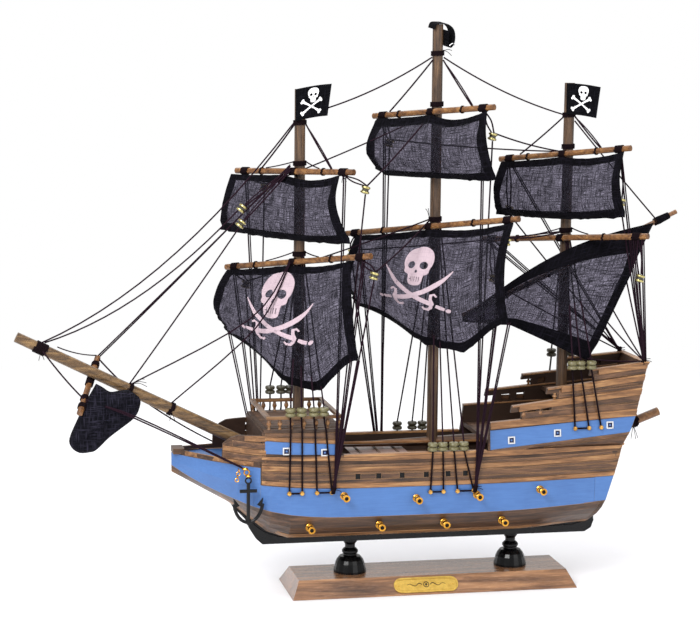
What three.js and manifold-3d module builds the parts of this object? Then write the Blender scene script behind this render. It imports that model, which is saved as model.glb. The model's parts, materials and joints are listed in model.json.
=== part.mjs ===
// Model sailing ship on a display stand, in millimetres.
// Frame: origin at the centre of the stand board's underside, +X towards the stern,
// +Y to starboard, +Z up.  Every separate piece of the ship is one named mesh.

import * as THREE from 'three';
import { mergeVertices } from 'three/addons/utils/BufferGeometryUtils.js';
import Module from 'manifold-3d';

const wasm = await Module();
wasm.setup();

const ship = new THREE.Group();

// ---------------------------------------------------------------- driving dimensions

const GAP = 0.3;                    // clearance between neighbouring pieces

const BOARD = { length: 217, width: 62, height: 12.3, topLength: 205, topWidth: 43 };
const PLATE = { length: 49, width: 12, thickness: 0.8, x: -7.5 };
const PEDESTAL_X = [-60, 64.5];
const KEEL_BOTTOM = 36.5;
const KEEL_TOP = 45.5;
const KEEL_THICKNESS = 9;

const HALF_BEAM = 42;               // half of the ship's greatest breadth
const STEM_X = -194;                // foremost point of the hull
const STEM_HALF = 1.6;              // half thickness of the stem
const TAPER_START = -100;           // the topsides run in towards the stem ahead of here
const TAPER_POWER = 2.25;
const STERN_START = 40;             // and towards the transom aft of here
const HULL_END = 116.7;             // last station, before the rake of the stern
const STERN_HALF = 35;
const RAKE = 0.31;                  // mm aft for each mm of height, at the last station

const WALE_LOW = 63.2;              // lower and upper edge of the painted wale, amidships
const WALE_HIGH = 84.8;
const DECK_TOP = 95;
const DECK_FRONT = -126;
const GUNWALE = 109.5;
const HEAD_AFT = -134;              // aft end of the painted head block
const BULWARK_FRONT = -160.5;       // the bow bulwark stands up aft of here
const WALL = 3;                     // thickness of the planked sides

const FORECASTLE = { front: -130, back: -75, deck: 127, plate: 2, rail: 138.5, railHalf: 37 };
const QUARTER = {
  front: 34, deck: 113, deckEnd: 138, poopFront: 96, bulkhead: 112, poopDeck: 141, poopEnd: 149, plate: 3,
  taper: 0.062, lean: 0.115,          // the sides close in by this much aft, and with height
};
const HATCH = { front: -63, back: -20, half: 20, top: 105 };
const STEM_CAP_HALF = 7.5;
const STERN_SPAR = { socket: [130, 0, 108.6], from: [146, 0, 114.6], to: [180.2, 0, 127.4], radius: 3.25 };

const MAST_RADIUS = 4.25;
const YARD_RADIUS = 2.25;
const SAIL_THICKNESS = 1.2;
const BRACE = THREE.MathUtils.degToRad(40);     // yards braced round from athwartships
const YARD_OFFSET = 7.1;            // from the mast's axis to the yard's axis

const MASTS = {
  fore: { x: -100, base: 115.3, top: 371.5, rake: 0 },
  main: { x: 2, base: 95.3, top: 419, rake: 0 },
  mizzen: { x: 102, base: 116.3, top: 377, rake: 0.006 },
};

// name, mast, height on the mast, reach to port and to starboard, tilt of the yard in degrees
const YARDS = [
  { name: 'fore_course_yard', mast: 'fore', z: 246.3, port: 72, starboard: 65, tilt: 7.5 },
  { name: 'fore_topsail_yard', mast: 'fore', z: 312.3, port: 56, starboard: 55, tilt: 2 },
  { name: 'main_course_yard', mast: 'main', z: 271.3, port: 79, starboard: 78, tilt: 7.5 },
  { name: 'main_topsail_yard', mast: 'main', z: 355.5, port: 56, starboard: 53, tilt: 5 },
  { name: 'crossjack_yard', mast: 'mizzen', z: 262, port: 75, starboard: 70, tilt: 4.6 },
  { name: 'mizzen_topsail_yard', mast: 'mizzen', z: 324.6, port: 58, starboard: 56, tilt: 6.4 },
];

// Square sails, seen along the yard: reach to port (+) and starboard (-) at the head and foot,
// height of each corner, depth of the belly at the starboard leech, centre and port leech,
// and how far the foot hangs below a straight line between its corners.
const SQUARE_SAILS = [
  {
    name: 'fore_topsail', yard: 'fore_topsail_yard',
    head: [-57, 45], foot: [-67, 56], drop: [266, 263.7], belly: [3, 12, 9], sag: 1, sagAt: 0.5,
  },
  {
    name: 'fore_course', yard: 'fore_course_yard',
    head: [-61, 56], foot: [-57, 63], drop: [188.6, 180.5], belly: [17, 20, 2], sag: 27, sagAt: 0.62,
  },
  {
    name: 'main_topsail', yard: 'main_topsail_yard',
    head: [-47, 51.5], foot: [-38, 60], drop: [308.6, 308.5], belly: [21, 17, 5], sag: 0, sagAt: 0.5,
  },
  {
    name: 'main_course', yard: 'main_course_yard',
    head: [-66, 76], foot: [-64, 74], drop: [208, 207], belly: [14, 20, 9], sag: 24, sagAt: 0.72,
  },
  {
    name: 'mizzen_topsail', yard: 'mizzen_topsail_yard',
    head: [-52.6, 54], foot: [-56, 57], drop: [276.5, 281], belly: [7, 11, 7], sag: 1.5, sagAt: 0.5,
  },
];

const LATEEN = {
  tack: [21, -10.5, 205], peak: [186, -10.5, 281.5],
  sailTack: [20, 206], sailPeak: [165, 272], crown: 12, clew: [117.5, 172], foot: [56, 200],
};

const BOWSPRIT = { tip: [-305, 0, 194.5], heel: [-136.5, 0, 110.8], rTip: 3.75, rHeel: 4.6 };
const SPRITSAIL = {
  along: 0.33, upper: 24, lower: 36, direction: [-0.28, -0.79, -0.545], offset: 7.3,
  foot: [[-217, -11, 143], [-260, -22, 109]],
};

const FLAG = { width: 25, height: 23 };
const FLAGS = [
  { name: 'fore', top: 371, rise: 4 },
  { name: 'main', top: 418.5, rise: -7, width: 14 },
  { name: 'mizzen', top: 376.5, rise: -3 },
];

// cannon stations: fore-and-aft place and height, the same on both sides
const UPPER_BATTERY = { x: [-73.5, -19.5, 26, 74.6], z: [79.5, 76, 77, 79], y: 42 };
const LOWER_BATTERY = { x: [-98, -46, 2.5, 46.8], z: [56, 56, 56, 56], y: 36.5 };

const ANCHOR = { x: -143.5, y: -41.5, top: 94, bottom: 61, arm: 10.5, depth: 16, stock: 6.2, shank: 1.3 };

// ---------------------------------------------------------------- materials

function finish(color, roughness = 0.6, metalness = 0) {
  return new THREE.MeshStandardMaterial({ color, roughness, metalness });
}

const WALNUT = 0x7a5238;
const PLANK = 0x9a6c48;
const DARK_PLANK = 0x4a382c;
const PALE_STRIP = 0xc89664;
const SPAR_WOOD = 0xb07b45;
const MAST_WOOD = 0x7c6248;
const BLUE_PAINT = 0x5d8ccf;
const BLACK_LACQUER = 0x15151a;
const BRASS = 0xc9a24f;
const GAUZE = 0x26242c;
const HATCH_BOARD = 0xb5a292;

// ---------------------------------------------------------------- geometry helpers

function add(name, geometry, material, parent = ship) {
  const mesh = new THREE.Mesh(geometry, material);
  mesh.name = name;
  parent.add(mesh);
  return mesh;
}

function toSolid(geometry) {
  const bare = geometry.clone();
  bare.deleteAttribute('normal');
  bare.deleteAttribute('uv');
  const merged = mergeVertices(bare, 1e-4);
  const vertProperties = new Float32Array(merged.attributes.position.array);
  const triVerts = new Uint32Array(merged.index.array);
  return new wasm.Manifold(new wasm.Mesh({ numProp: 3, vertProperties, triVerts }));
}

function toGeometry(solid) {
  const result = solid.getMesh();
  const geometry = new THREE.BufferGeometry();
  geometry.setAttribute('position', new THREE.BufferAttribute(result.vertProperties, 3));
  geometry.setIndex(new THREE.BufferAttribute(result.triVerts, 1));
  geometry.computeVertexNormals();
  return geometry;
}

function join(geometries) {
  return toGeometry(geometries.map(toSolid).reduce((sum, solid) => sum.add(solid)));
}

function cut(geometry, tools) {
  return toGeometry(tools.map(toSolid).reduce((rest, tool) => rest.subtract(tool), toSolid(geometry)));
}

function box(x0, x1, y0, y1, z0, z1) {
  const geometry = new THREE.BoxGeometry(x1 - x0, y1 - y0, z1 - z0);
  return geometry.translate((x0 + x1) / 2, (y0 + y1) / 2, (z0 + z1) / 2);
}

// A round bar between two points, with its own radius at each end.
function bar(from, to, radiusFrom, radiusTo = radiusFrom, sides = 12) {
  const start = new THREE.Vector3(...from);
  const axis = new THREE.Vector3(...to).sub(start);
  const geometry = new THREE.CylinderGeometry(radiusTo, radiusFrom, axis.length(), sides);
  geometry.translate(0, axis.length() / 2, 0);
  const turn = new THREE.Quaternion().setFromUnitVectors(new THREE.Vector3(0, 1, 0), axis.normalize());
  return geometry.applyQuaternion(turn).translate(start.x, start.y, start.z);
}

// A turned piece standing on its end: profile of [radius, height].
function turned(profile, sides = 20) {
  const points = profile.map(([r, z]) => new THREE.Vector2(r, z));
  return new THREE.LatheGeometry(points, sides).rotateX(Math.PI / 2);
}

// A flat outline in x and z, given a thickness across the ship.
function plate(points, thickness, holes = []) {
  const shape = new THREE.Shape(points.map(([x, z]) => new THREE.Vector2(x, z)));
  for (const hole of holes) {
    shape.holes.push(new THREE.Path(hole.map(([x, z]) => new THREE.Vector2(x, z))));
  }
  const geometry = new THREE.ExtrudeGeometry(shape, { depth: thickness, bevelEnabled: false });
  return geometry.rotateX(Math.PI / 2).translate(0, thickness / 2, 0);
}

// Moves every vertex of a geometry by a function of its place.
function bend(geometry, place) {
  const position = geometry.attributes.position;
  const v = new THREE.Vector3();
  for (let i = 0; i < position.count; i++) {
    v.fromBufferAttribute(position, i);
    place(v);
    position.setXYZ(i, v.x, v.y, v.z);
  }
  geometry.computeVertexNormals();
  return geometry;
}

// A closed body through a list of rings of points, all with the same count, in order.
function loft(rings) {
  const count = rings[0].length;
  const vertices = rings.flat().flat();
  const index = [];
  const at = (ring, k) => ring * count + (k % count);
  for (let r = 0; r < rings.length - 1; r++) {
    for (let k = 0; k < count; k++) {
      index.push(at(r, k), at(r, k + 1), at(r + 1, k + 1));
      index.push(at(r, k), at(r + 1, k + 1), at(r + 1, k));
    }
  }
  const last = rings.length - 1;
  for (const [ring, direction] of [[0, -1], [last, 1]]) {
    const flat = rings[ring].map((p) => flatten(p, rings[ring]));
    const turn = Math.sign(THREE.ShapeUtils.area(flat)) * direction;
    for (const [a, b, c] of THREE.ShapeUtils.triangulateShape(flat, [])) {
      const same = THREE.ShapeUtils.area([flat[a], flat[b], flat[c]]) * turn > 0;
      index.push(at(ring, a), at(ring, same ? b : c), at(ring, same ? c : b));
    }
  }
  const geometry = new THREE.BufferGeometry();
  geometry.setAttribute('position', new THREE.Float32BufferAttribute(vertices, 3));
  geometry.setIndex(index);
  return outward(geometry);
}

// Two coordinates of a ring's point, leaving out the axis the ring faces most.
function flatten(point, ring) {
  const normal = [0, 0, 0];
  ring.forEach((p, i) => {
    const q = ring[(i + 1) % ring.length];
    for (let axis = 0; axis < 3; axis++) {
      const [u, v] = [(axis + 1) % 3, (axis + 2) % 3];
      normal[axis] += (p[u] - q[u]) * (p[v] + q[v]);
    }
  });
  const sizes = normal.map(Math.abs);
  const facing = sizes.indexOf(Math.max(...sizes));
  return new THREE.Vector2(point[(facing + 1) % 3], point[(facing + 2) % 3]);
}

function outward(geometry) {
  const p = geometry.attributes.position;
  const index = geometry.index.array;
  const [a, b, c] = [new THREE.Vector3(), new THREE.Vector3(), new THREE.Vector3()];
  let volume = 0;
  for (let i = 0; i < index.length; i += 3) {
    a.fromBufferAttribute(p, index[i]);
    b.fromBufferAttribute(p, index[i + 1]);
    c.fromBufferAttribute(p, index[i + 2]);
    volume += a.dot(b.cross(c));
  }
  if (volume < 0) {
    for (let i = 0; i < index.length; i += 3) {
      [index[i], index[i + 1]] = [index[i + 1], index[i]];
    }
  }
  geometry.computeVertexNormals();
  return geometry;
}

function lerp(a, b, t) {
  return a + (b - a) * t;
}

function smooth(a, b, x) {
  const t = Math.min(Math.max((x - a) / (b - a), 0), 1);
  return t * t * (3 - 2 * t);
}

// ---------------------------------------------------------------- the hull's form

// Half breadth of the topsides at a station.
function topsideHalf(x) {
  if (x < TAPER_START) {
    const t = Math.min((TAPER_START - x) / (TAPER_START - STEM_X), 1);
    return STEM_HALF + (HALF_BEAM - STEM_HALF) * (1 - t ** TAPER_POWER);
  }
  const t = Math.max((x - STERN_START) / (HULL_END + 18 - STERN_START), 0);
  return HALF_BEAM - (HALF_BEAM - STERN_HALF) * t * t;
}

// Bottom of the planking: level over the keel, then up the long sloping stem.
function hullBottom(x) {
  const stem = [[STEM_X, 93], [-151, 68.6], [-137, 57], [-125, 48.5], [-112, KEEL_TOP]];
  for (let i = 0; i < stem.length - 1; i++) {
    const [x0, z0] = stem[i];
    const [x1, z1] = stem[i + 1];
    if (x <= x1) {
      return lerp(z0, z1, (x - x0) / (x1 - x0));
    }
  }
  return KEEL_TOP;
}

function waleLow(x) {
  const bow = Math.max((-57 - x) / 96, 0);
  const stern = Math.max((x - 20) / 105, 0);
  return Math.max(WALE_LOW + 13.8 * bow ** 2.6 + 4.7 * stern ** 2, hullBottom(x) + 3);
}

function waleHigh(x) {
  const bow = Math.max((-57 - x) / 77, 0);
  const stern = Math.max((x - 20) / 105, 0);
  return WALE_HIGH + 3.8 * bow ** 2 + 1.5 * stern ** 2;
}

// Half breadth of the hull at a station and height: bilge curve below, straight above.
function hullHalf(x, z) {
  const bottom = hullBottom(x);
  const s = Math.min((z - bottom) / (0.4 * (GUNWALE + 2 - bottom)), 1);
  const fore = smooth(-150, -108, x);
  const aft = 1 - smooth(60, 125, x);
  const foot = 0.1 + 0.47 * Math.min(fore, 0.25 + 0.75 * aft);
  return topsideHalf(x) * (foot + (1 - foot) * (1 - (1 - s) ** 2.2));
}

// The last stations lean aft with height.
function raked(x, z) {
  return x + RAKE * (z - KEEL_TOP) * smooth(80, HULL_END, x);
}

function stations(from, to, count) {
  return Array.from({ length: count + 1 }, (_, i) => lerp(from, to, i / count));
}

// One set of stations for every slice of the hull, so that neighbours share their faces.
const HULL_STATIONS = [
  ...stations(STEM_X, BULWARK_FRONT, 5),
  ...stations(BULWARK_FRONT + 0.5, HEAD_AFT - 5, 4),
  HEAD_AFT - 1, HEAD_AFT, HEAD_AFT + GAP,
  ...stations(DECK_FRONT, HULL_END, 17),
];

function stationsWithin(from, to) {
  return HULL_STATIONS.filter((x) => x >= from && x <= to);
}

// A solid slice of the hull between two heights, inset from the outer skin.
function hullSlice(xs, low, high, rows, inset = 0) {
  return loft(xs.map((x) => {
    const ring = [];
    for (let r = 0; r <= rows; r++) {
      const z = lerp(low(x), high(x), r / rows);
      ring.push([raked(x, z), -Math.max(hullHalf(x, z) - inset, 0.6), z]);
    }
    return [...ring, ...ring.map(([px, py, pz]) => [px, -py, pz]).reverse()];
  }));
}

// One side's wall, standing on the hull's outer line.
function sideWall(side, xs, low, high, thickness) {
  return loft(xs.map((x) => {
    const outer = (z) => hullHalf(x, z);
    const [z0, z1] = [low(x), high(x)];
    return [
      [raked(x, z0), side * outer(z0), z0],
      [raked(x, z1), side * outer(z1), z1],
      [raked(x, z1), side * (outer(z1) - thickness), z1],
      [raked(x, z0), side * (outer(z0) - thickness), z0],
    ];
  }));
}

// ---------------------------------------------------------------- stand

function buildStand() {
  const slope = (BOARD.width - BOARD.topWidth) / 2;
  const board = box(-BOARD.length / 2, BOARD.length / 2, -BOARD.width / 2, BOARD.width / 2, 0, BOARD.height);
  bend(board, (v) => {
    if (v.z > BOARD.height / 2) {
      v.x *= BOARD.topLength / BOARD.length;
      v.y *= BOARD.topWidth / BOARD.width;
    }
  });
  add('base_board', board, finish(WALNUT, 0.35));

  const r = PLATE.width / 2;
  const shape = new THREE.Shape();
  shape.absarc(PLATE.length / 2 - r, 0, r, -Math.PI / 2, Math.PI / 2, false);
  shape.absarc(-PLATE.length / 2 + r, 0, r, Math.PI / 2, Math.PI * 1.5, false);
  const options = { depth: PLATE.thickness, bevelEnabled: false, curveSegments: 6 };
  const name = add('base_nameplate', new THREE.ExtrudeGeometry(shape, options), finish(BRASS, 0.3, 1));
  name.rotation.x = Math.atan2(BOARD.height, slope);
  name.position.set(PLATE.x, -(BOARD.width + BOARD.topWidth) / 4 - 0.12, BOARD.height / 2 + 0.1);

  const profile = [
    [0, 0], [12.3, 0], [12.3, 1.5], [11, 7], [9.9, 9.5], [7.9, 12], [5.2, 13], [5.2, 13.8],
    [6.1, 15], [6.1, 16.2], [5.2, 17.4], [3.8, 18.5], [3.8, 21], [5.4, 23.2], [5.4, 24], [0, 24],
  ];
  for (const [i, x] of PEDESTAL_X.entries()) {
    const pedestal = turned(profile).translate(x, 0, BOARD.height + 0.05);
    add(i ? 'pedestal_aft' : 'pedestal_fore', pedestal, finish(BLACK_LACQUER, 0.15));
  }
}

// ---------------------------------------------------------------- hull

function buildKeel() {
  const top = (x) => hullBottom(x) - GAP;
  const points = [[-127, KEEL_BOTTOM], [-132, 41], [-136.5, 48], [-140, 56]];
  points.push([-150, 66.5], [-146, top(-146)], [-137, top(-137)], [-125, top(-125)]);
  points.push([-112, KEEL_TOP - GAP], [transomX(KEEL_TOP) + GAP, KEEL_TOP - GAP]);
  points.push([transomX(50) + GAP, 50], [128.5, 50], [129, 45], [127, 39.5], [122, KEEL_BOTTOM]);
  add('keel', plate(points, KEEL_THICKNESS), finish(BLACK_LACQUER, 0.2));
}

function buildHull() {
  const all = HULL_STATIONS;
  const aftOfHead = stationsWithin(HEAD_AFT + GAP, HULL_END);
  const waleXs = stationsWithin(HEAD_AFT - 1, HULL_END);
  const head = stationsWithin(STEM_X, HEAD_AFT);

  const lowerWood = finish(PLANK, 0.45);
  const blue = finish(BLUE_PAINT, 0.45);
  const lower = hullSlice(all, hullBottom, waleLow, 4);
  const wale = hullSlice(waleXs, (x) => waleLow(x) + 0.05, waleHigh, 1);
  const headTop = (x) => lerp(107, 101.3, (x - STEM_X) / (HEAD_AFT - STEM_X));
  const block = hullSlice(head, (x) => waleLow(x) + 0.05, headTop, 2);
  add('lower_hull', lower, lowerWood);
  add('blue_wale', join([wale, block]), blue);

  const sideLow = (x) => waleHigh(x) + 0.05;
  for (const [label, side] of [['port', -1], ['starboard', 1]]) {
    const wall = sideWall(side, aftOfHead, sideLow, () => GUNWALE, WALL);
    add(`side_planking_${label}`, wall, finish(PLANK, 0.5));
  }

  const deckXs = stationsWithin(DECK_FRONT, HULL_END);
  const deck = hullSlice(deckXs, (x) => waleHigh(x) + 0.05, () => DECK_TOP, 1, WALL + GAP);
  add('main_deck', deck, finish(DARK_PLANK, 0.6));
  const hatch = box(HATCH.front, HATCH.back, -HATCH.half, HATCH.half, DECK_TOP + 0.05, HATCH.top);
  add('cargo_hatch', hatch, finish(HATCH_BOARD, 0.6));

  const bulwarkLow = (x) => headTop(x) + 0.05;
  const rail = (x) => bulwarkLow(x) + lerp(4, 2, (x - STEM_X) / (HEAD_AFT - STEM_X));
  const shoulder = (x) => 124.8 - 7 * Math.max((-148 - x) / 12, 0) ** 2;
  const bulwarkHigh = (x) => (x > BULWARK_FRONT ? shoulder(x) : rail(x));
  const foreXs = stationsWithin(STEM_X + 3, HEAD_AFT);
  const [capStart, capEnd] = [STEM_X + 0.5, foreXs[0] + 2];
  const stemCap = box(
    capStart, capEnd, -STEM_CAP_HALF, STEM_CAP_HALF, bulwarkLow(STEM_X), bulwarkHigh(STEM_X));
  const walls = [-1, 1].map((side) => sideWall(side, foreXs, bulwarkLow, bulwarkHigh, 2.4));
  add('bow_bulwark', join([...walls, stemCap]), finish(PLANK, 0.5));
}

function buildForecastle() {
  const { front, back, deck, plate: thick, rail, railHalf } = FORECASTLE;
  const xs = stations(front - 3, back, 5);
  const low = GUNWALE + 0.05;
  const block = hullSlice(xs, () => low, () => deck + 0.5, 1, 0.5);
  const { x: mastX, base } = MASTS.fore;
  const socket = bar([mastX, 0, base - GAP], [mastX, 0, rail + 1.5], MAST_RADIUS + GAP);
  const sheet = hullSlice(stations(front - 2, back + 1, 5), () => deck, () => deck + thick, 1);
  add('forecastle', cut(join([block, sheet]), [socket]), finish(BLUE_PAINT, 0.45));

  const foot = deck + thick + 0.05;
  const parts = [
    box(front, back, -railHalf - 1.5, -railHalf + 1.5, rail - 2.4, rail),
    box(front, back, railHalf - 1.5, railHalf + 1.5, rail - 2.4, rail),
    box(front, front + 3, -railHalf, railHalf, rail - 2.3, rail + 0.1),
    box(back - 3, back, -railHalf, railHalf, rail - 2.3, rail + 0.1),
  ];
  const baluster = [[0, 0], [1.4, 0], [0.9, 1.4], [1.5, 3.6], [0.9, 5.8], [1.4, 7.6], [0, 7.6]];
  for (const x of [front + 2, (front + back) / 2 - 9, (front + back) / 2 + 9, back - 2]) {
    for (const y of [-railHalf, railHalf]) {
      parts.push(turned(baluster, 8).translate(x, y, foot));
    }
  }
  add('forecastle_rail', join(parts), finish(SPAR_WOOD, 0.5));
}

// Quarter sides lean inboard with height and towards the stern.
function quarterHalf(x, z) {
  return HALF_BEAM - QUARTER.taper * (x - QUARTER.front) - QUARTER.lean * (z - GUNWALE);
}

// Aft face of the transom at a height.
function transomX(z) {
  const profile = [[KEEL_TOP, 120], [GUNWALE, 139.8], [123.2, 148.4], [148.4, 155.4], [170, 161]];
  for (let i = 0; i < profile.length - 1; i++) {
    const [z0, x0] = profile[i];
    const [z1, x1] = profile[i + 1];
    if (z <= z1 || i === profile.length - 2) {
      return lerp(x0, x1, (z - z0) / (z1 - z0));
    }
  }
  return profile[0][1];
}

function buildQuarter() {
  const low = GUNWALE + 0.05;
  const t = WALL + GAP;
  const end = (z) => transomX(z) - t;
  const outline = [
    [QUARTER.front, low], [36, 129.5], [60, 131], [60, 137], [52, 136.4], [53, 141], [88, 144.6],
    [88, 149.8], [80, 149], [81, 153], [117, 156.6], [117, 161.8], [114, 161.4], [115, 165.8],
    [end(170), 170], [end(148.4), 148.4], [end(123.2), 123.2], [end(low), low],
  ];
  const holes = [
    [[65, 132.5], [72, 133], [72, 138], [65, 137.4]],
    [[77, 133.5], [83, 134], [83, 139], [77, 138.5]],
    [[93, 146.4], [99, 147], [99, 151], [93, 150.4]],
    [[137, 160], [142, 160.4], [142, 164], [137, 163.6]],
  ];
  for (const [label, side] of [['port', -1], ['starboard', 1]]) {
    const wall = plate(outline, WALL, holes);
    bend(wall, (v) => {
      v.y = side * (quarterHalf(v.x, v.z) - WALL / 2 + v.y);
    });
    add(`quarter_side_${label}`, outward(mergeVertices(bare(wall), 1e-4)), finish(PLANK, 0.5));
  }

  const between = (x, z) => quarterHalf(x, z) - WALL - GAP;
  const sheet = (x0, x1, z, thick) => loft([x0, x1].map((x) => [
    [x, -between(x, z), z], [x, between(x, z), z],
    [x, between(x, z + thick) - 0.4, z + thick], [x, -between(x, z + thick) + 0.4, z + thick],
  ]));
  const [under, over] = [QUARTER.deck, QUARTER.poopDeck + 20].map((z) => mastPoint('mizzen', z).toArray());
  const hole = bar(under, over, MAST_RADIUS + GAP);
  const quarterDeck = sheet(QUARTER.front + 2, QUARTER.deckEnd, QUARTER.deck, QUARTER.plate);
  const poopDeck = sheet(QUARTER.poopFront, QUARTER.poopEnd, QUARTER.poopDeck, QUARTER.plate);
  add('quarter_deck', quarterDeck, finish(DARK_PLANK, 0.6));
  const wallLow = QUARTER.deck + QUARTER.plate + 0.05;
  const wallHigh = QUARTER.poopDeck + 1;
  const bulkhead = loft([QUARTER.bulkhead, QUARTER.bulkhead + QUARTER.plate].map((x) => [
    [x, -between(x, wallLow), wallLow], [x, between(x, wallLow), wallLow],
    [x, between(x, wallHigh), wallHigh], [x, -between(x, wallHigh), wallHigh],
  ]));
  add('poop_deck', cut(join([poopDeck, bulkhead]), [hole]), finish(DARK_PLANK, 0.6));

  const heights = [KEEL_TOP, 50, 56, 62, 68, 80, 95, GUNWALE, 123.2, 136, 148.4, 170];
  const transom = loft(heights.map((z) => {
    const half = z < GUNWALE ? hullHalf(HULL_END, z) : quarterHalf(transomX(z), z);
    const x = transomX(z);
    return [[x, -half, z], [x, half, z], [x - WALL, half, z], [x - WALL, -half, z]];
  }));
  const { socket, from, to, radius } = STERN_SPAR;
  add('transom', cut(transom, [bar(socket, to, radius + GAP)]), finish(PLANK, 0.5));
  add('stern_spar', bar(from, to, radius), finish(SPAR_WOOD, 0.5));
}

function bare(geometry) {
  const copy = geometry.clone();
  copy.deleteAttribute('normal');
  copy.deleteAttribute('uv');
  return copy;
}

// ---------------------------------------------------------------- masts and yards

function mastPoint(mast, z) {
  const { x, rake } = MASTS[mast];
  return new THREE.Vector3(x + rake * (z - QUARTER.deck - QUARTER.plate), 0, z);
}

function buildMasts() {
  for (const [name, { base, top }] of Object.entries(MASTS)) {
    const from = mastPoint(name, base).toArray();
    const to = mastPoint(name, top).toArray();
    add(`${name}_mast`, bar(from, to, MAST_RADIUS, MAST_RADIUS - 0.3), finish(MAST_WOOD, 0.5));
  }
  add('bowsprit', bar(BOWSPRIT.heel, BOWSPRIT.tip, BOWSPRIT.rHeel, BOWSPRIT.rTip), finish(MAST_WOOD, 0.5));
}

// Directions of a braced yard: along it to port and aft, and square to it, forward.
const ALONG = new THREE.Vector3(Math.sin(BRACE), -Math.cos(BRACE), 0);
const FORWARD = new THREE.Vector3(-Math.cos(BRACE), -Math.sin(BRACE), 0);

function yardPoint(yard, w, out = 0) {
  const rise = Math.tan(THREE.MathUtils.degToRad(yard.tilt)) * w;
  return mastPoint(yard.mast, yard.z)
    .addScaledVector(ALONG, w)
    .addScaledVector(FORWARD, YARD_OFFSET + out)
    .add(new THREE.Vector3(0, 0, rise));
}

function buildYards() {
  for (const yard of YARDS) {
    const from = yardPoint(yard, -yard.starboard).toArray();
    const to = yardPoint(yard, yard.port).toArray();
    add(yard.name, bar(from, to, YARD_RADIUS, YARD_RADIUS, 10), finish(SPAR_WOOD, 0.5));
  }
  add('lateen_yard', bar(LATEEN.tack, LATEEN.peak, YARD_RADIUS, 1.7, 10), finish(SPAR_WOOD, 0.5));
}

// ---------------------------------------------------------------- sails

// A thin closed sheet over a grid of points: front(u, v) with u and v from 0 to 1.
function sheetSolid(front, normal, columns, rows) {
  const near = [];
  const far = [];
  for (let r = 0; r <= rows; r++) {
    for (let c = 0; c <= columns; c++) {
      const p = front(c / columns, r / rows);
      near.push(p);
      far.push(p.clone().addScaledVector(normal, -SAIL_THICKNESS));
    }
  }
  const vertices = [...near, ...far].flatMap((p) => p.toArray());
  const width = columns + 1;
  const offset = near.length;
  const index = [];
  const quad = (a, b, c, d) => index.push(a, b, c, a, c, d);
  for (let r = 0; r < rows; r++) {
    for (let c = 0; c < columns; c++) {
      const a = r * width + c;
      quad(a, a + width, a + width + 1, a + 1);
      quad(offset + a, offset + a + 1, offset + a + width + 1, offset + a + width);
    }
  }
  for (let c = 0; c < columns; c++) {
    const b = rows * width + c;
    quad(c, c + 1, offset + c + 1, offset + c);
    quad(b + 1, b, offset + b, offset + b + 1);
  }
  for (let r = 0; r < rows; r++) {
    const a = r * width;
    const b = a + columns;
    quad(a + width, a, offset + a, offset + a + width);
    quad(b, b + width, offset + b + width, offset + b);
  }
  const geometry = new THREE.BufferGeometry();
  geometry.setAttribute('position', new THREE.Float32BufferAttribute(vertices, 3));
  geometry.setIndex(index);
  return outward(geometry);
}

function buildSquareSail(sail) {
  const yard = YARDS.find(({ name }) => name === sail.yard);
  const clear = YARD_RADIUS + SAIL_THICKNESS + GAP;
  const front = (u, v) => {
    const w = lerp(lerp(...sail.head, u), lerp(...sail.foot, u), v);
    const headZ = yardPoint(yard, w).z + 1;
    const hang = Math.max(1 - ((u - sail.sagAt) / Math.max(sail.sagAt, 1 - sail.sagAt)) ** 2, 0);
    const footZ = lerp(...sail.drop, u) - sail.sag * hang * smooth(0, 0.5, u) * smooth(0, 0.3, 1 - u);
    const z = lerp(headZ, footZ, v);
    const [starboard, middle, port] = sail.belly;
    const depth = u < 0.5 ? lerp(starboard, middle, 2 * u) : lerp(middle, port, 2 * u - 1);
    const out = clear + depth * Math.sin(Math.PI * Math.min(v, 0.95) ** 0.9);
    const p = yardPoint(yard, w, out);
    p.z = z;
    return p;
  };
  add(`${sail.name}_sail`, sheetSolid(front, FORWARD, 8, 6), finish(GAUZE, 0.9));
}

function buildLateenSail() {
  const { sailTack, sailPeak, foot, clew } = LATEEN;
  const y = LATEEN.tack[1] - YARD_RADIUS - GAP;
  const normal = new THREE.Vector3(0, -1, 0);
  const front = (u, v) => {
    const headX = lerp(sailTack[0], sailPeak[0], u);
    const headZ = lerp(sailTack[1], sailPeak[1], u) + LATEEN.crown * Math.sin(Math.PI * u);
    const t = (foot[0] - sailTack[0]) / (clew[0] - sailTack[0]);
    const footX = lerp(sailTack[0], clew[0], u);
    const footZ = u < t ? lerp(sailTack[1] - 4, foot[1], u / t) : lerp(foot[1], clew[1], (u - t) / (1 - t));
    const belly = 5 * Math.sin(Math.PI * u) * Math.sin(Math.PI * v);
    return new THREE.Vector3(lerp(headX, footX, v), y - SAIL_THICKNESS - belly, lerp(headZ, footZ, v));
  };
  add('lateen_sail', sheetSolid(front, normal, 9, 5), finish(GAUZE, 0.9));
}

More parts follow.
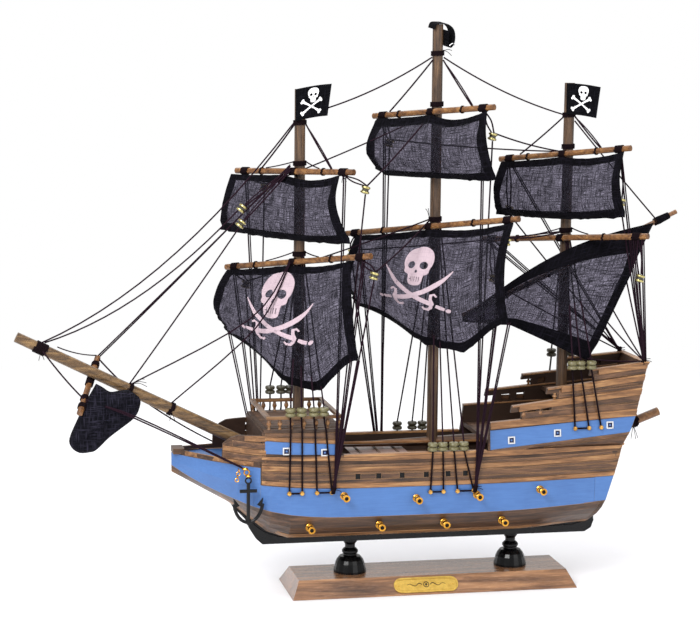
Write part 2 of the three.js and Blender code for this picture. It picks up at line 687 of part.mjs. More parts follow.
function buildSpritsail() {
  const tip = new THREE.Vector3(...BOWSPRIT.tip);
  const heel = new THREE.Vector3(...BOWSPRIT.heel);
  const crossing = tip.clone().lerp(heel, SPRITSAIL.along);
  const along = new THREE.Vector3(...SPRITSAIL.direction).normalize();
  const spar = heel.clone().sub(tip).normalize();
  const under = new THREE.Vector3().crossVectors(spar, along).normalize();
  const centre = crossing.clone().addScaledVector(under, SPRITSAIL.offset);
  const from = centre.clone().addScaledVector(along, -SPRITSAIL.upper).toArray();
  const to = centre.clone().addScaledVector(along, SPRITSAIL.lower).toArray();
  add('spritsail_yard', bar(from, to, YARD_RADIUS, YARD_RADIUS, 10), finish(SPAR_WOOD, 0.5));

  // The sail hangs slack from the lower part of the yard.
  const [footAft, footFore] = SPRITSAIL.foot.map((p) => new THREE.Vector3(...p));
  const clear = new THREE.Vector3(3.2, -1.5, -3.6);
  const front = (u, v) => {
    const head = centre.clone().addScaledVector(along, lerp(1, SPRITSAIL.lower - 2, u)).add(clear);
    const foot = footAft.clone().lerp(footFore, u);
    const point = head.lerp(foot, v);
    point.y -= 7 * Math.sin(Math.PI * v);
    point.x -= 6 * Math.sin(Math.PI * v) * u;
    return point;
  };
  add('spritsail', sheetSolid(front, new THREE.Vector3(0, -1, 0), 5, 5), finish(GAUZE, 0.9));
}

// ---------------------------------------------------------------- fittings

// A flag is glued round its mast and stands out aft, on the port side of the mast.
function buildFlags() {
  for (const { name, top, rise, width = FLAG.width } of FLAGS) {
    const mast = mastPoint(name, top);
    const front = (u, v) => new THREE.Vector3(
      mast.x - MAST_RADIUS + width * u,
      mast.y - MAST_RADIUS - 1.6 - 1.4 * Math.sin(2 * Math.PI * u) ** 2,
      mast.z - FLAG.height * v + rise * u);
    add(`${name}_flag`, sheetSolid(front, new THREE.Vector3(0, -1, 0), 6, 2), finish(GAUZE, 0.8));
  }
}

// Cannon barrels: flared muzzle with a bore, ringed body, all turned from one bar.
function buildCannons() {
  const profile = [
    [0, 0], [1.9, 0], [1.9, 1.6], [2.5, 1.9], [2.5, 2.7], [2.1, 3.1], [1.9, 6.4], [2.3, 6.8],
    [2.3, 7.4], [1.9, 7.7], [2.3, 9], [2.7, 9.5], [1.5, 9.5], [1.4, 6.5], [0, 6.5],
  ];
  const batteries = [['upper', UPPER_BATTERY], ['lower', LOWER_BATTERY]];
  for (const [label, side] of [['port', -1], ['starboard', 1]]) {
    for (const [row, battery] of batteries) {
      battery.x.forEach((x, i) => {
        const z = battery.z[i];
        const barrel = turned(profile, 10);
        const cannon = add(`${row}_cannon_${label}_${i + 1}`, barrel, finish(BRASS, 0.25, 1));
        cannon.rotation.x = -side * Math.PI / 2;
        cannon.position.set(x, side * (hullHalf(x, z + 2) + GAP), z);
      });
    }
  }
}

function buildAnchor() {
  const { x, y, top, bottom, arm, depth, stock, shank } = ANCHOR;
  const curve = new THREE.EllipseCurve(0, 0, arm, depth, Math.PI * 1.05, Math.PI * 1.95);
  const path = curve.getPoints(12).map((p) => new THREE.Vector3(x + p.x, y, bottom + depth + 1.5 + p.y));
  const parts = [bar([x, y, bottom], [x, y, top - 2.5], shank, shank, 8)];
  for (let i = 0; i < path.length - 1; i++) {
    parts.push(bar(path[i].toArray(), path[i + 1].toArray(), 1.3, 1.3, 8));
  }
  for (const side of [-1, 1]) {
    const tip = path[side < 0 ? 0 : path.length - 1];
    parts.push(bar([tip.x - side * 2.2, y, tip.z - 1.5], [tip.x + side * 0.3, y, tip.z + 4.2], 2, 0.3, 8));
  }
  parts.push(bar([x - stock, y, top - 8.5], [x + stock, y, top - 8.5], 1.3, 1.3, 8));
  parts.push(new THREE.TorusGeometry(2.1, 0.6, 6, 12).rotateX(Math.PI / 2).translate(x, y, top - 0.9));
  add('anchor', join(parts), finish(BLACK_LACQUER, 0.3));

  const links = [];
  for (let i = 0; i < 3; i++) {
    const link = new THREE.TorusGeometry(1.9, 0.55, 6, 12);
    link.rotateX(i % 2 ? Math.PI / 2 : 0);
    links.push(link.translate(x - 1.2 * i, y, top + 2.6 + 2.6 * i));
  }
  add('anchor_chain', join(links), finish(BRASS, 0.25, 1));
}

// ---------------------------------------------------------------- assembly

buildStand();
buildKeel();
buildHull();
buildForecastle();
buildQuarter();
buildMasts();
buildYards();
SQUARE_SAILS.forEach(buildSquareSail);
buildLateenSail();
buildSpritsail();
buildFlags();
buildCannons();
buildAnchor();

export default ship;
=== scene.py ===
import json
import math
import random

import bmesh
import bpy
from mathutils import Matrix, Vector
from mathutils.bvhtree import BVHTree
from mathutils.geometry import delaunay_2d_cdt


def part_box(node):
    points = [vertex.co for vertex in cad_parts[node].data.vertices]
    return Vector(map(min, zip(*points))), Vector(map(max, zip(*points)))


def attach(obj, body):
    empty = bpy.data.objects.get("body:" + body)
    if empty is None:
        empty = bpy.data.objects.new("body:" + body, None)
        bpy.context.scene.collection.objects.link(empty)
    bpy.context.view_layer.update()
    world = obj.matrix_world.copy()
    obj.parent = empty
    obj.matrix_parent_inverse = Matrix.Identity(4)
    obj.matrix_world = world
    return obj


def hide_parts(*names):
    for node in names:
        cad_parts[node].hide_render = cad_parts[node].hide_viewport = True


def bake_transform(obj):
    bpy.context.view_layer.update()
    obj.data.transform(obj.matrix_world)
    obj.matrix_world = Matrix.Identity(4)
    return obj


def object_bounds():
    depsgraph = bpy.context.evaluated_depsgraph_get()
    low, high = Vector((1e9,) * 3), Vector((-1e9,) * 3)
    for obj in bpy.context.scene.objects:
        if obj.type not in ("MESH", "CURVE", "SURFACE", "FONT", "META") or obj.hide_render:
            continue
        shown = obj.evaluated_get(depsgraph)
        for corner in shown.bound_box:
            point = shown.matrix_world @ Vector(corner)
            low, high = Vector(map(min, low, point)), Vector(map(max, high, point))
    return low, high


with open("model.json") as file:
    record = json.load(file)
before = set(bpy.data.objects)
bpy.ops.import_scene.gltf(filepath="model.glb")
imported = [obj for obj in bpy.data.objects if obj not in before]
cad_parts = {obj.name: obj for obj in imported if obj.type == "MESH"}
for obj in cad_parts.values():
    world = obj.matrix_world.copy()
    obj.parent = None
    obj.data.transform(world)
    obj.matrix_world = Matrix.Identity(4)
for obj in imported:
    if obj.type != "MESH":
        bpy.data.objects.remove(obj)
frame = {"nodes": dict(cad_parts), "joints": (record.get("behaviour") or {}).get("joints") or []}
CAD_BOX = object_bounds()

# A model sailing ship on a stand. Lengths below are millimetres in the CAD frame: X aft,
# Y to starboard, Z up. Meshes are written in metres.
MM = 0.001
random.seed(7)

PORT, STARBOARD = -1, 1
ROPE = 0.60                           # radius of the ship's lines
THIN_ROPE = 0.48
GAUZE_THICKNESS = 0.45
HEM_THICKNESS = 1.1
HEM_WIDTH = 6.5
STRAKE = 0.45                         # how far a plank stands out from the hull


# ---------------------------------------------------------------- reading the CAD frame

def box(node):
    """Lowest and highest corner of a CAD node, in millimetres."""
    low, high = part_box(node)
    return low / MM, high / MM


def node_points(node):
    return [v.co / MM for v in frame["nodes"][node].data.vertices]


def rod_ends(node):
    """The centres of the two ends of a straight CAD rod, foremost or portmost end last."""
    points = node_points(node)
    centre = sum(points, Vector()) / len(points)
    direction = max(points, key=lambda p: (p - centre).length) - centre
    for _ in range(3):
        direction = direction.normalized()
        along = [(p - centre).dot(direction) for p in points]
        near = [p for p, t in zip(points, along) if t < min(along) + 2.5]
        far = [p for p, t in zip(points, along) if t > max(along) - 2.5]
        a = sum(near, Vector()) / len(near)
        b = sum(far, Vector()) / len(far)
        direction = b - a
    return (b, a) if a.y < b.y else (a, b)


def mast_axis(node):
    """Top and bottom of a mast's centre line."""
    low, high = box(node)
    points = node_points(node)
    ends = []
    for z in (low.z, high.z):
        ring = [p for p in points if abs(p.z - z) < 1.5]
        ends.append(sum(ring, Vector()) / len(ring))
    return ends[1], ends[0]


def mast_at(mast, z):
    top, foot = MAST[mast]
    return foot.lerp(top, (z - foot.z) / (top.z - foot.z))


def tree(names):
    points, faces = [], []
    for name in names:
        start = len(points)
        points += node_points(name)
        mesh = frame["nodes"][name].data
        faces += [[start + i for i in polygon.vertices] for polygon in mesh.polygons]
    return BVHTree.FromPolygons(points, faces)


SHELL = ["keel", "lower_hull", "blue_wale", "side_planking_port", "side_planking_starboard",
         "bow_bulwark", "forecastle", "quarter_side_port", "quarter_side_starboard", "transom"]
HULL_TREE = tree(SHELL)
MAST = {name: mast_axis(f"{name}_mast") for name in ("fore", "main", "mizzen")}
BOWSPRIT_ENDS = sorted(rod_ends("bowsprit"), key=lambda p: p.x)
LATEEN_ENDS = sorted(rod_ends("lateen_yard"), key=lambda p: p.x)
SPRIT_ENDS = sorted(rod_ends("spritsail_yard"), key=lambda p: p.z)
FAR = 200                             # well outside the ship


def skin(x, z, side):
    """The point on the outside of the hull at a length and a height, seen from one side."""
    hit = HULL_TREE.ray_cast(Vector((x, side * FAR, z)), Vector((0, -side, 0)))[0]
    return hit


def skin_normal(x, z, side):
    """Outward direction of the hull there, smoothed over a few millimetres."""
    reach = 1.6
    slopes = []
    for dx, dz in ((reach, 0), (0, reach)):
        a, b = skin(x - dx, z - dz, side), skin(x + dx, z + dz, side)
        if a is None or b is None or abs(a.y - b.y) > 4:
            slopes.append(0.0)
        else:
            slopes.append((b.y - a.y) / (2 * reach))
    return Vector((-slopes[0], 1.0, -slopes[1])).normalized() * side


# ---------------------------------------------------------------- numbers and curves

def lerp(a, b, t):
    return a + (b - a) * t


def catmull(a, b, c, d, t):
    """A point between b and c on the smooth curve through all four."""
    return [0.5 * (2 * q + (r - p) * t + (2 * p - 5 * q + 4 * r - s) * t * t
                   + (3 * q - p - 3 * r + s) * t ** 3) for p, q, r, s in zip(a, b, c, d)]


def smooth(a, b, x):
    t = min(max((x - a) / (b - a), 0), 1)
    return t * t * (3 - 2 * t)


def spread(a, b, count):
    return [lerp(a, b, i / (count - 1)) for i in range(count)]


def table(points, x):
    """A broken line through (x, value) points."""
    for (x0, v0), (x1, v1) in zip(points, points[1:]):
        if x <= x1:
            return lerp(v0, v1, max((x - x0) / (x1 - x0), 0))
    return points[-1][1]


def hanging(a, b, sag, count=14):
    """Points along a line that hangs a little between its ends."""
    out = []
    for t in spread(0, 1, count):
        p = a.lerp(b, t)
        p.z -= sag * 4 * t * (1 - t)
        out.append(p)
    return out


def rounded(points, steps=4):
    """A smooth path through the points (Catmull-Rom)."""
    if len(points) < 3:
        return list(points)
    out = []
    padded = [points[0]] + list(points) + [points[-1]]
    for p0, p1, p2, p3 in zip(padded, padded[1:], padded[2:], padded[3:]):
        out += [Vector(catmull(p0, p1, p2, p3, i / steps)) for i in range(steps)]
    return out + [points[-1]]


def cornered(path, reach=0.9):
    """The same broken line with two points at each bend, so that a tube keeps its girth there."""
    out = [path[0]]
    for before, corner, after in zip(path, path[1:], path[2:]):
        out.append(corner + (before - corner).normalized() * reach)
        out.append(corner + (after - corner).normalized() * reach)
    return out + [path[-1]]


def side_axes(direction):
    """Two unit directions across a direction."""
    direction = direction.normalized()
    start = Vector((0, 0, 1)) if abs(direction.z) < 0.9 else Vector((1, 0, 0))
    across = direction.cross(start).normalized()
    return across, direction.cross(across).normalized()


# (height, x) points of the ship's side where it meets the stern.
STERN_LINE = [(45.5, 120), (109.5, 139.8), (123.2, 148.4), (148.4, 155.4), (170, 161)]
STERN_INSET = 0.5                     # a plank's own thickness ends this far ahead of the line
STERN_COVER = 0.5                     # and its end face reaches this far aft, over the stern boards


def stern_end(z):
    """Where the planks of the ship's side end, at a height."""
    return table(STERN_LINE, z) - STERN_INSET


# ---------------------------------------------------------------- mesh building

class Piece:
    """Closed solids gathered into one mesh. Each point keeps a UV in millimetres and a tone."""

    def __init__(self):
        self.points, self.faces, self.uvs, self.tones, self.slots = [], [], [], [], []

    def add(self, points, faces, uvs=None, tone=0.5, slot=0):
        start = len(self.points)
        self.points += points
        self.faces += [[start + i for i in face] for face in faces]
        self.uvs += uvs or [(0.0, 0.0)] * len(points)
        self.tones += tone if isinstance(tone, list) else [tone] * len(points)
        self.slots += [slot] * len(faces)

    def loft(self, rings, tone=0.5, slot=0, uvs=None):
        """Skin over rings of equal size, capped at both ends."""
        n = len(rings[0])
        faces = []
        for r in range(len(rings) - 1):
            for i in range(n):
                j = (i + 1) % n
                faces.append([r * n + i, r * n + j, (r + 1) * n + j, (r + 1) * n + i])
        faces.append(list(range(n))[::-1])
        last = (len(rings) - 1) * n
        faces.append([last + i for i in range(n)])
        self.add([p for ring in rings for p in ring], faces, uvs, tone, slot)

    def tube(self, path, radius, sides=6, tone=0.5, slot=0):
        """Round bar along a path; radius is one number or one for each point."""
        radii = radius if isinstance(radius, list) else [radius] * len(path)
        rings, uvs = [], []
        across, up = side_axes(path[1] - path[0])
        run = 0.0
        for i, p in enumerate(path):
            direction = (path[min(i + 1, len(path) - 1)] - path[max(i - 1, 0)]).normalized()
            across = (across - direction * across.dot(direction)).normalized()
            up = direction.cross(across)
            if i:
                run += (p - path[i - 1]).length
            ring = []
            for s in range(sides):
                angle = 2 * math.pi * s / sides
                ring.append(p + (across * math.cos(angle) + up * math.sin(angle)) * radii[i])
                uvs.append((run, abs(1 - 2 * s / sides)))
            rings.append(ring)
        self.loft(rings, tone, slot, uvs)

    def ring(self, centre, axis, radius, thick, turns=1.0, sides=6, steps=20, pitch=0.0, tone=0.5):
        """A turn or several turns of cord round an axis."""
        across, up = side_axes(axis)
        axis = axis.normalized()
        count = max(int(steps * turns), 8) + 1
        path = []
        for t in spread(0, 1, count):
            angle = 2 * math.pi * turns * t
            out = across * math.cos(angle) + up * math.sin(angle)
            path.append(centre + out * radius + axis * pitch * turns * (t - 0.5))
        self.tube(path, thick, sides, tone)

    def lathe(self, base, axis, profile, sides=20, tone=0.5, slot=0):
        """Turned shape: profile is (radius, height) pairs from base along axis."""
        across, up = side_axes(axis)
        axis = axis.normalized()
        rings = []
        for r, h in profile:
            r = max(r, 0.02)
            rings.append([base + axis * h + (across * math.cos(a) + up * math.sin(a)) * r
                          for a in spread(0, 2 * math.pi, sides + 1)[:-1]])
        self.loft(rings, tone, slot)

    def slab(self, centre, x, y, z, size, edge=0.25, tone=0.5, slot=0):
        """Block with chamfered edges. x, y and z are its unit axes, size its three lengths."""
        hx, hy, hz = size[0] / 2, size[1] / 2, size[2] / 2
        edge = min(edge, hx * 0.45, hy * 0.45, hz * 0.45)
        rings = []
        for dz, inset in ((-hz, edge), (-hz + edge, 0), (hz - edge, 0), (hz, edge)):
            a, b = hx - inset, hy - inset
            c = edge
            corners = [(a, b - c), (a - c, b), (-a + c, b), (-a, b - c),
                       (-a, -b + c), (-a + c, -b), (a - c, -b), (a, -b + c)]
            rings.append([centre + x * u + y * v + z * dz for u, v in corners])
        self.loft(rings, tone, slot)

    def strake(self, xs, low, high, side, thick=STRAKE, tone=0.5, sink=0.5, slot=0):
        """A plank with eased edges that follows the hull between two heights and ends at the stern."""
        rings, edge = [], 0.22
        for x in xs:
            z0, z1 = low(x), high(x)
            if z1 - z0 < 2.4 * edge:
                continue
            ring = []
            stations = ((z0, -sink), (z0, thick - edge), (z0 + edge, thick), (z1 - edge, thick),
                        (z1, thick - edge), (z1, -sink))
            for z, out in stations:
                reach = min(x, stern_end(z))
                p = skin(reach, z, side)
                if p is None:
                    ring = None
                    break
                p = p + skin_normal(reach, z, side) * out
                if x == xs[-1] and x > stern_end((low(x) + high(x)) / 2) - STERN_COVER:
                    # The plank's end covers the edge of the stern boards.
                    end = stern_end(z)
                    p = skin(end, z, side)
                    inner = skin(end - 3, z, side)
                    slope = (p.y - inner.y) / 3 if inner else 0
                    p = p + Vector((STERN_COVER, slope * STERN_COVER + side * out, 0))
                ring.append(p)
            if ring:
                rings.append(ring)
        if len(rings) > 1:
            self.loft(rings, tone, slot)

    def make(self, name, materials, body="hull", slot=None, sharp=38, ride=True):
        mesh = bpy.data.meshes.new(name)
        mesh.from_pydata([p * MM for p in self.points], [], self.faces)
        layer = mesh.uv_layers.new(name="UVMap")
        for loop in mesh.loops:
            layer.data[loop.index].uv = self.uvs[loop.vertex_index]
        tones = mesh.attributes.new("tone", "FLOAT", "POINT")
        tones.data.foreach_set("value", self.tones)
        materials = materials if isinstance(materials, (list, tuple)) else [materials]
        for material in materials:
            mesh.materials.append(material)
        mesh.polygons.foreach_set("material_index", self.slots)
        mesh.validate()
        make_outward(mesh)
        mesh.shade_smooth()
        mesh.set_sharp_from_angle(angle=math.radians(sharp))
        obj = bpy.data.objects.new(name, mesh)
        bpy.context.scene.collection.objects.link(obj)
        if ride:
            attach(obj, body)
        return obj


def make_outward(mesh):
    bm = bmesh.new()
    bm.from_mesh(mesh)
    bmesh.ops.recalc_face_normals(bm, faces=bm.faces)
    bm.to_mesh(mesh)
    bm.free()


def rope(name, path, bodies, radius=ROPE, material=None, tone=0.5):
    """One thread. bodies is a body name, or two for a line that runs from one to the other."""
    piece = Piece()
    piece.tube(path, radius, 6, tone)
    if isinstance(bodies, str):
        return piece.make(name, material or THREAD, bodies)
    obj = piece.make(name, material or THREAD, ride=False)
    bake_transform(obj)
    return obj


# ---------------------------------------------------------------- materials

class Nodes:
    """A short way to wire a node material."""

    def __init__(self, name):
        self.material = bpy.data.materials.new(name)
        self.material.use_nodes = True
        self.tree = self.material.node_tree
        self.tree.nodes.clear()
        self.output = self.tree.nodes.new("ShaderNodeOutputMaterial")

    def add(self, kind, inputs=None, **settings):
        node = self.tree.nodes.new("ShaderNode" + kind)
        for key, value in settings.items():
            setattr(node, key, value)
        for key, value in (inputs or {}).items():
            if isinstance(value, bpy.types.NodeSocket):
                self.tree.links.new(value, node.inputs[key])
            else:
                node.inputs[key].default_value = value
        return node

    def coordinates(self, kind="Object", scale=(1, 1, 1), rotation=(0, 0, 0)):
        source = self.add("TexCoord").outputs[kind]
        return self.add("Mapping", {"Vector": source, "Scale": scale, "Rotation": rotation}).outputs[0]

    def noise(self, vector, scale, detail=4.0, rough=0.55, distortion=0.0):
        return self.add("TexNoise", {"Vector": vector, "Scale": scale, "Detail": detail,
                                     "Roughness": rough, "Distortion": distortion}).outputs[0]

    def math(self, kind, a, b=0.0, c=0.0):
        return self.add("Math", {0: a, 1: b, 2: c}, operation=kind).outputs[0]

    def between(self, value, low, high, out_low=0.0, out_high=1.0):
        return self.add("MapRange", {"Value": value, "From Min": low, "From Max": high,
                                     "To Min": out_low, "To Max": out_high}).outputs[0]

    def ramp(self, value, stops):
        node = self.add("ValToRGB", {"Fac": value})
        elements = node.color_ramp.elements
        while len(elements) < len(stops):
            elements.new(0.5)
        for element, (position, colour) in zip(elements, stops):
            element.position = position
            element.color = linear(colour)
        return node.outputs[0]

    def mix(self, factor, a, b, kind="MIX"):
        node = self.add("Mix", data_type="RGBA", blend_type=kind)
        for index, value in ((0, factor), (6, a), (7, b)):
            if isinstance(value, bpy.types.NodeSocket):
                self.tree.links.new(value, node.inputs[index])
            else:
                node.inputs[index].default_value = value if index == 0 else linear(value)
        return node.outputs[2]

    def bump(self, height, strength, distance=0.0002, normal=None):
        inputs = {"Height": height, "Strength": strength, "Distance": distance}
        if normal is not None:
            inputs["Normal"] = normal
        return self.add("Bump", inputs).outputs[0]

    def surface(self, shader):
        self.tree.links.new(shader, self.output.inputs["Surface"])
        return self.material

    def principled(self, **inputs):
        names = {"color": "Base Color", "rough": "Roughness", "metal": "Metallic",
                 "normal": "Normal", "coat": "Coat Weight", "coat_rough": "Coat Roughness",
                 "specular": "Specular IOR Level", "sheen": "Sheen Weight", "alpha": "Alpha"}
        return self.add("BsdfPrincipled", {names[k]: v for k, v in inputs.items()}).outputs[0]

    def edge_wear_and_highlight(self, radius, low=0.02, high=0.12):
        """1 along the edges, 0 on the flats: worn edges, and on lacquer a painted highlight."""
        bevel = self.add("Bevel", {"Radius": radius}, samples=4).outputs[0]
        flat = self.add("NewGeometry").outputs["Normal"]
        dot = self.add("VectorMath", {0: bevel, 1: flat}, operation="DOT_PRODUCT").outputs["Value"]
        return self.between(self.math("SUBTRACT", 1.0, dot), low, high)


def linear(colour):
    """A colour written as 0-255 screen values, as the linear RGBA that nodes use."""
    if len(colour) == 4:
        return colour
    return tuple((c / 255) ** 2.2 for c in colour) + (1.0,)


def wood(name, dark, middle, light, grain=1.0, rough=0.55, coat=0.0, axis=0, tone_reach=0.35,
         wear=None, inside_shade_colour=None):
    """Timber with fibres and growth rings running along one axis of the frame."""
    n = Nodes(name)
    stretch = [1.0, 1.0, 1.0]
    stretch[axis] = 0.07
    where = n.coordinates(scale=stretch)
    tone = n.add("Attribute", attribute_name="tone").outputs["Fac"]
    shifted = n.add("VectorMath", {0: where, 1: (0, 0, 0)}, operation="ADD")
    offset = n.add("CombineXYZ", {"X": n.math("MULTIPLY", tone, 0.9),
                                  "Z": n.math("MULTIPLY", tone, 0.37)}).outputs[0]
    n.tree.links.new(offset, shifted.inputs[1])
    place = shifted.outputs[0]
    warp = n.noise(place, 60 * grain, 2.0)
    bent = n.add("VectorMath", {0: place, 1: n.add("VectorMath", {0: warp, 1: (0.008, 0.008, 0.008)},
                                                   operation="MULTIPLY").outputs[0]}, operation="ADD")
    rings = n.noise(bent.outputs[0], 330 * grain, 5.0, 0.6, 0.6)
    fibres = n.noise(place, 1900 * grain, 3.0, 0.7)
    mottle = n.noise(n.coordinates(scale=(1, 1, 1)), 35 * grain, 3.0)
    figure = n.math("ADD", n.math("MULTIPLY", rings, 0.68), n.math("MULTIPLY", fibres, 0.2))
    figure = n.math("ADD", figure, n.math("MULTIPLY", mottle, 0.12))
    colour = n.ramp(figure, [(0.36, dark), (0.5, middle), (0.64, light)])
    shade = n.between(tone, 0.0, 1.0, 1 - tone_reach, 1 + tone_reach)
    bright = n.add("HueSaturation", {"Color": colour, "Value": shade}).outputs[0]
    if wear:
        bright = n.mix(n.math("MULTIPLY", n.edge_wear_and_highlight(0.0006), 0.6), bright, wear)
    if inside_shade_colour:
        # Painted shade: faces turned towards the ship's middle line are darkened, as if in the shadow inside
        # the bulwarks.
        geometry = n.add("NewGeometry")
        turned = n.add("SeparateXYZ", {0: geometry.outputs["Normal"]}).outputs[1]
        place_y = n.add("SeparateXYZ", {0: geometry.outputs["Position"]}).outputs[1]
        inward = n.math("LESS_THAN", n.math("MULTIPLY", turned, n.math("SIGN", place_y)), -0.5)
        painted_inside_shade = n.mix(figure, inside_shade_colour, (72, 54, 44))
        bright = n.mix(inward, bright, painted_inside_shade)
    normal = n.bump(n.math("ADD", fibres, n.math("MULTIPLY", rings, 0.6)), 0.35, 0.00025)
    glossy = n.between(fibres, 0.3, 0.7, rough - 0.07, rough + 0.1)
    return n.surface(n.principled(color=bright, rough=glossy, normal=normal, coat=coat,
                                  coat_rough=0.18, specular=0.4))


def paint(name, colour, dark, worn, rough=0.5, coat=0.15):
    """Brushed paint on wood: faint strokes, blotches and rubbed edges."""
    n = Nodes(name)
    strokes = n.noise(n.coordinates(scale=(0.08, 1, 1)), 900, 3.0, 0.6)
    blotch = n.noise(n.coordinates(), 45, 3.0)
    amount = n.between(n.math("ADD", n.math("MULTIPLY", strokes, 0.45),
                              n.math("MULTIPLY", blotch, 0.55)), 0.3, 0.72)
    base = n.mix(amount, dark, colour)
    scuffs = n.between(n.noise(n.coordinates(scale=(0.3, 1, 1)), 420, 5.0, 0.7), 0.68, 0.8)
    mask = n.math("MAXIMUM", n.math("MULTIPLY", scuffs, 0.35),
                  n.math("MULTIPLY", n.edge_wear_and_highlight(0.0005), 0.55))
    final = n.mix(mask, base, worn)
    normal = n.bump(strokes, 0.25, 0.00012)
    return n.surface(n.principled(color=final, rough=n.between(blotch, 0.3, 0.7, rough - 0.08, rough + 0.08),
                                  normal=normal, coat=coat, coat_rough=0.25))


def lacquer(name, colour, rough=0.16):
    """Black gloss with the wood's faint grain under it, a little dust, and paler edges that are a painted
    highlight.
    """
    n = Nodes(name)
    grain = n.noise(n.coordinates(scale=(0.1, 1, 1)), 700, 3.0)
    dust = n.between(n.noise(n.coordinates(), 2600, 2.0), 0.62, 0.8)
    base = n.mix(n.math("MULTIPLY", dust, 0.06), colour, (110, 110, 118))
    # Painted highlight: the edges are mixed towards a paler grey, like lit edge lines on the gloss.
    base = n.mix(n.math("MULTIPLY", n.edge_wear_and_highlight(0.0005), 0.12), base, (70, 66, 72))
    smears = n.between(n.noise(n.coordinates(), 90, 3.0), 0.3, 0.7, rough - 0.04, rough + 0.14)
    return n.surface(n.principled(color=base, rough=smears, normal=n.bump(grain, 0.12, 0.0001),
                                  specular=0.22, coat=0.1, coat_rough=0.1))


def metal(name, colour, dark, rough=0.24, brushed=(1, 1, 1)):
    """Cast or turned brass: fine scratches, tarnish in patches."""
    n = Nodes(name)
    scratches = n.noise(n.coordinates(scale=brushed), 2400, 3.0, 0.7)
    tarnish = n.between(n.noise(n.coordinates(), 260, 4.0), 0.42, 0.72)
    base = n.mix(n.math("MULTIPLY", tarnish, 0.55), colour, dark)
    glossy = n.math("ADD", n.between(scratches, 0.3, 0.7, rough - 0.07, rough + 0.1),
                    n.math("MULTIPLY", tarnish, 0.12))
    return n.surface(n.principled(color=base, rough=glossy, metal=1.0,
                                  normal=n.bump(scratches, 0.15, 0.00005)))


def thread(name, dark, light, twist=1.7):
    """Waxed cotton thread: strands wind round the line, with a faint fuzz."""
    n = Nodes(name)
    uv = n.add("SeparateXYZ", {0: n.coordinates("UV")})
    phase = n.math("ADD", n.math("MULTIPLY", uv.outputs[0], twist), uv.outputs[1])
    strand = n.math("PINGPONG", phase, 0.5)
    fuzz = n.noise(n.coordinates(), 2600, 3.0, 0.7)
    colour = n.mix(n.math("ADD", n.math("MULTIPLY", strand, 1.1), n.math("MULTIPLY", fuzz, 0.4)),
                   dark, light)
    normal = n.bump(n.math("ADD", strand, n.math("MULTIPLY", fuzz, 0.3)), 0.6, 0.0002)
    return n.surface(n.principled(color=colour, rough=0.9, normal=normal, specular=0.08))


def weave(n, count=1.0):
    """Height and gap maps of a plain weave, from UVs in millimetres."""
    uv = n.coordinates("UV")
    parts = n.add("SeparateXYZ", {0: uv})
    warp = n.noise(n.add("Mapping", {"Vector": uv, "Scale": (1.25, 0.09, 1)}).outputs[0], 1.0, 2.0, 0.6)
    weft = n.noise(n.add("Mapping", {"Vector": uv, "Scale": (0.09, 1.25, 1)}).outputs[0], 1.0, 2.0, 0.6)
    across = n.math("SINE", n.math("MULTIPLY", parts.outputs[0], 7.4 * count))
    down = n.math("SINE", n.math("MULTIPLY", parts.outputs[1], 7.4 * count))
    slubs = n.math("MAXIMUM", n.math("SUBTRACT", warp, 0.5), n.math("SUBTRACT", weft, 0.5))
    grid = n.math("MULTIPLY", n.math("ADD", across, down), 0.25)
    return grid, slubs


def gauze(name, colour, pale, through):
    """Thin open cloth: light shows between its threads, thicker slubs run both ways."""
    n = Nodes(name)
    grid, slubs = weave(n)
    cloudy = n.noise(n.coordinates("UV"), 0.06, 3.0)
    tint = n.mix(n.between(n.math("ADD", slubs, n.math("MULTIPLY", cloudy, 0.3)), 0.05, 0.3),
                 colour, pale)
    normal = n.bump(n.math("ADD", grid, slubs), 0.55, 0.0003)
    cloth = n.principled(color=tint, rough=0.92, normal=normal, specular=0.1)
    glow = n.add("BsdfTranslucent", {"Color": linear((70, 66, 78)), "Normal": normal}).outputs[0]
    body = n.add("MixShader", {0: 0.3, 1: cloth, 2: glow}).outputs[0]
    clear = n.add("BsdfTransparent", {"Color": linear((236, 232, 246))}).outputs[0]
    speck = n.math("SUBTRACT", n.noise(n.coordinates("UV", (1.3, 1.0, 1)), 1.15, 1.0), 0.5)
    gap = n.math("ADD", n.math("MULTIPLY", grid, 0.12), n.math("MULTIPLY", slubs, -1.9))
    gap = n.math("ADD", gap, n.math("MULTIPLY", speck, 0.8))
    gap = n.math("ADD", gap, n.math("MULTIPLY", n.math("SUBTRACT", cloudy, 0.5), 0.3))
    amount = n.add("Clamp", {0: n.math("ADD", gap, through), 1: 0.02, 2: 0.75}).outputs[0]
    return n.surface(n.add("MixShader", {0: amount, 1: body, 2: clear}).outputs[0])


def cloth(name, colour, pale, count=1.0):
    """The doubled hems and the flags: close woven, hardly any light comes through."""
    n = Nodes(name)
    grid, slubs = weave(n, count)
    tint = n.mix(n.between(slubs, 0.0, 0.25), colour, pale)
    normal = n.bump(n.math("ADD", grid, slubs), 0.5, 0.0003)
    return n.surface(n.principled(color=tint, rough=0.92, normal=normal, specular=0.08))


def floor_material():
    """Matt white paper near the model, running out to the white of the backdrop."""
    n = Nodes("studio_floor")
    speck = n.noise(n.coordinates(), 18, 4.0)
    paper = n.principled(color=n.mix(speck, (244, 243, 247), (250, 250, 252)), rough=0.7)
    white = n.add("Emission", {"Color": (1, 1, 1, 1), "Strength": 1.0}).outputs[0]
    place = n.add("NewGeometry").outputs["Position"]
    away = n.add("VectorMath", {0: place}, operation="LENGTH").outputs["Value"]
    return n.surface(n.add("MixShader", {0: n.between(away, 0.45, 1.1), 1: paper, 2: white}).outputs[0])


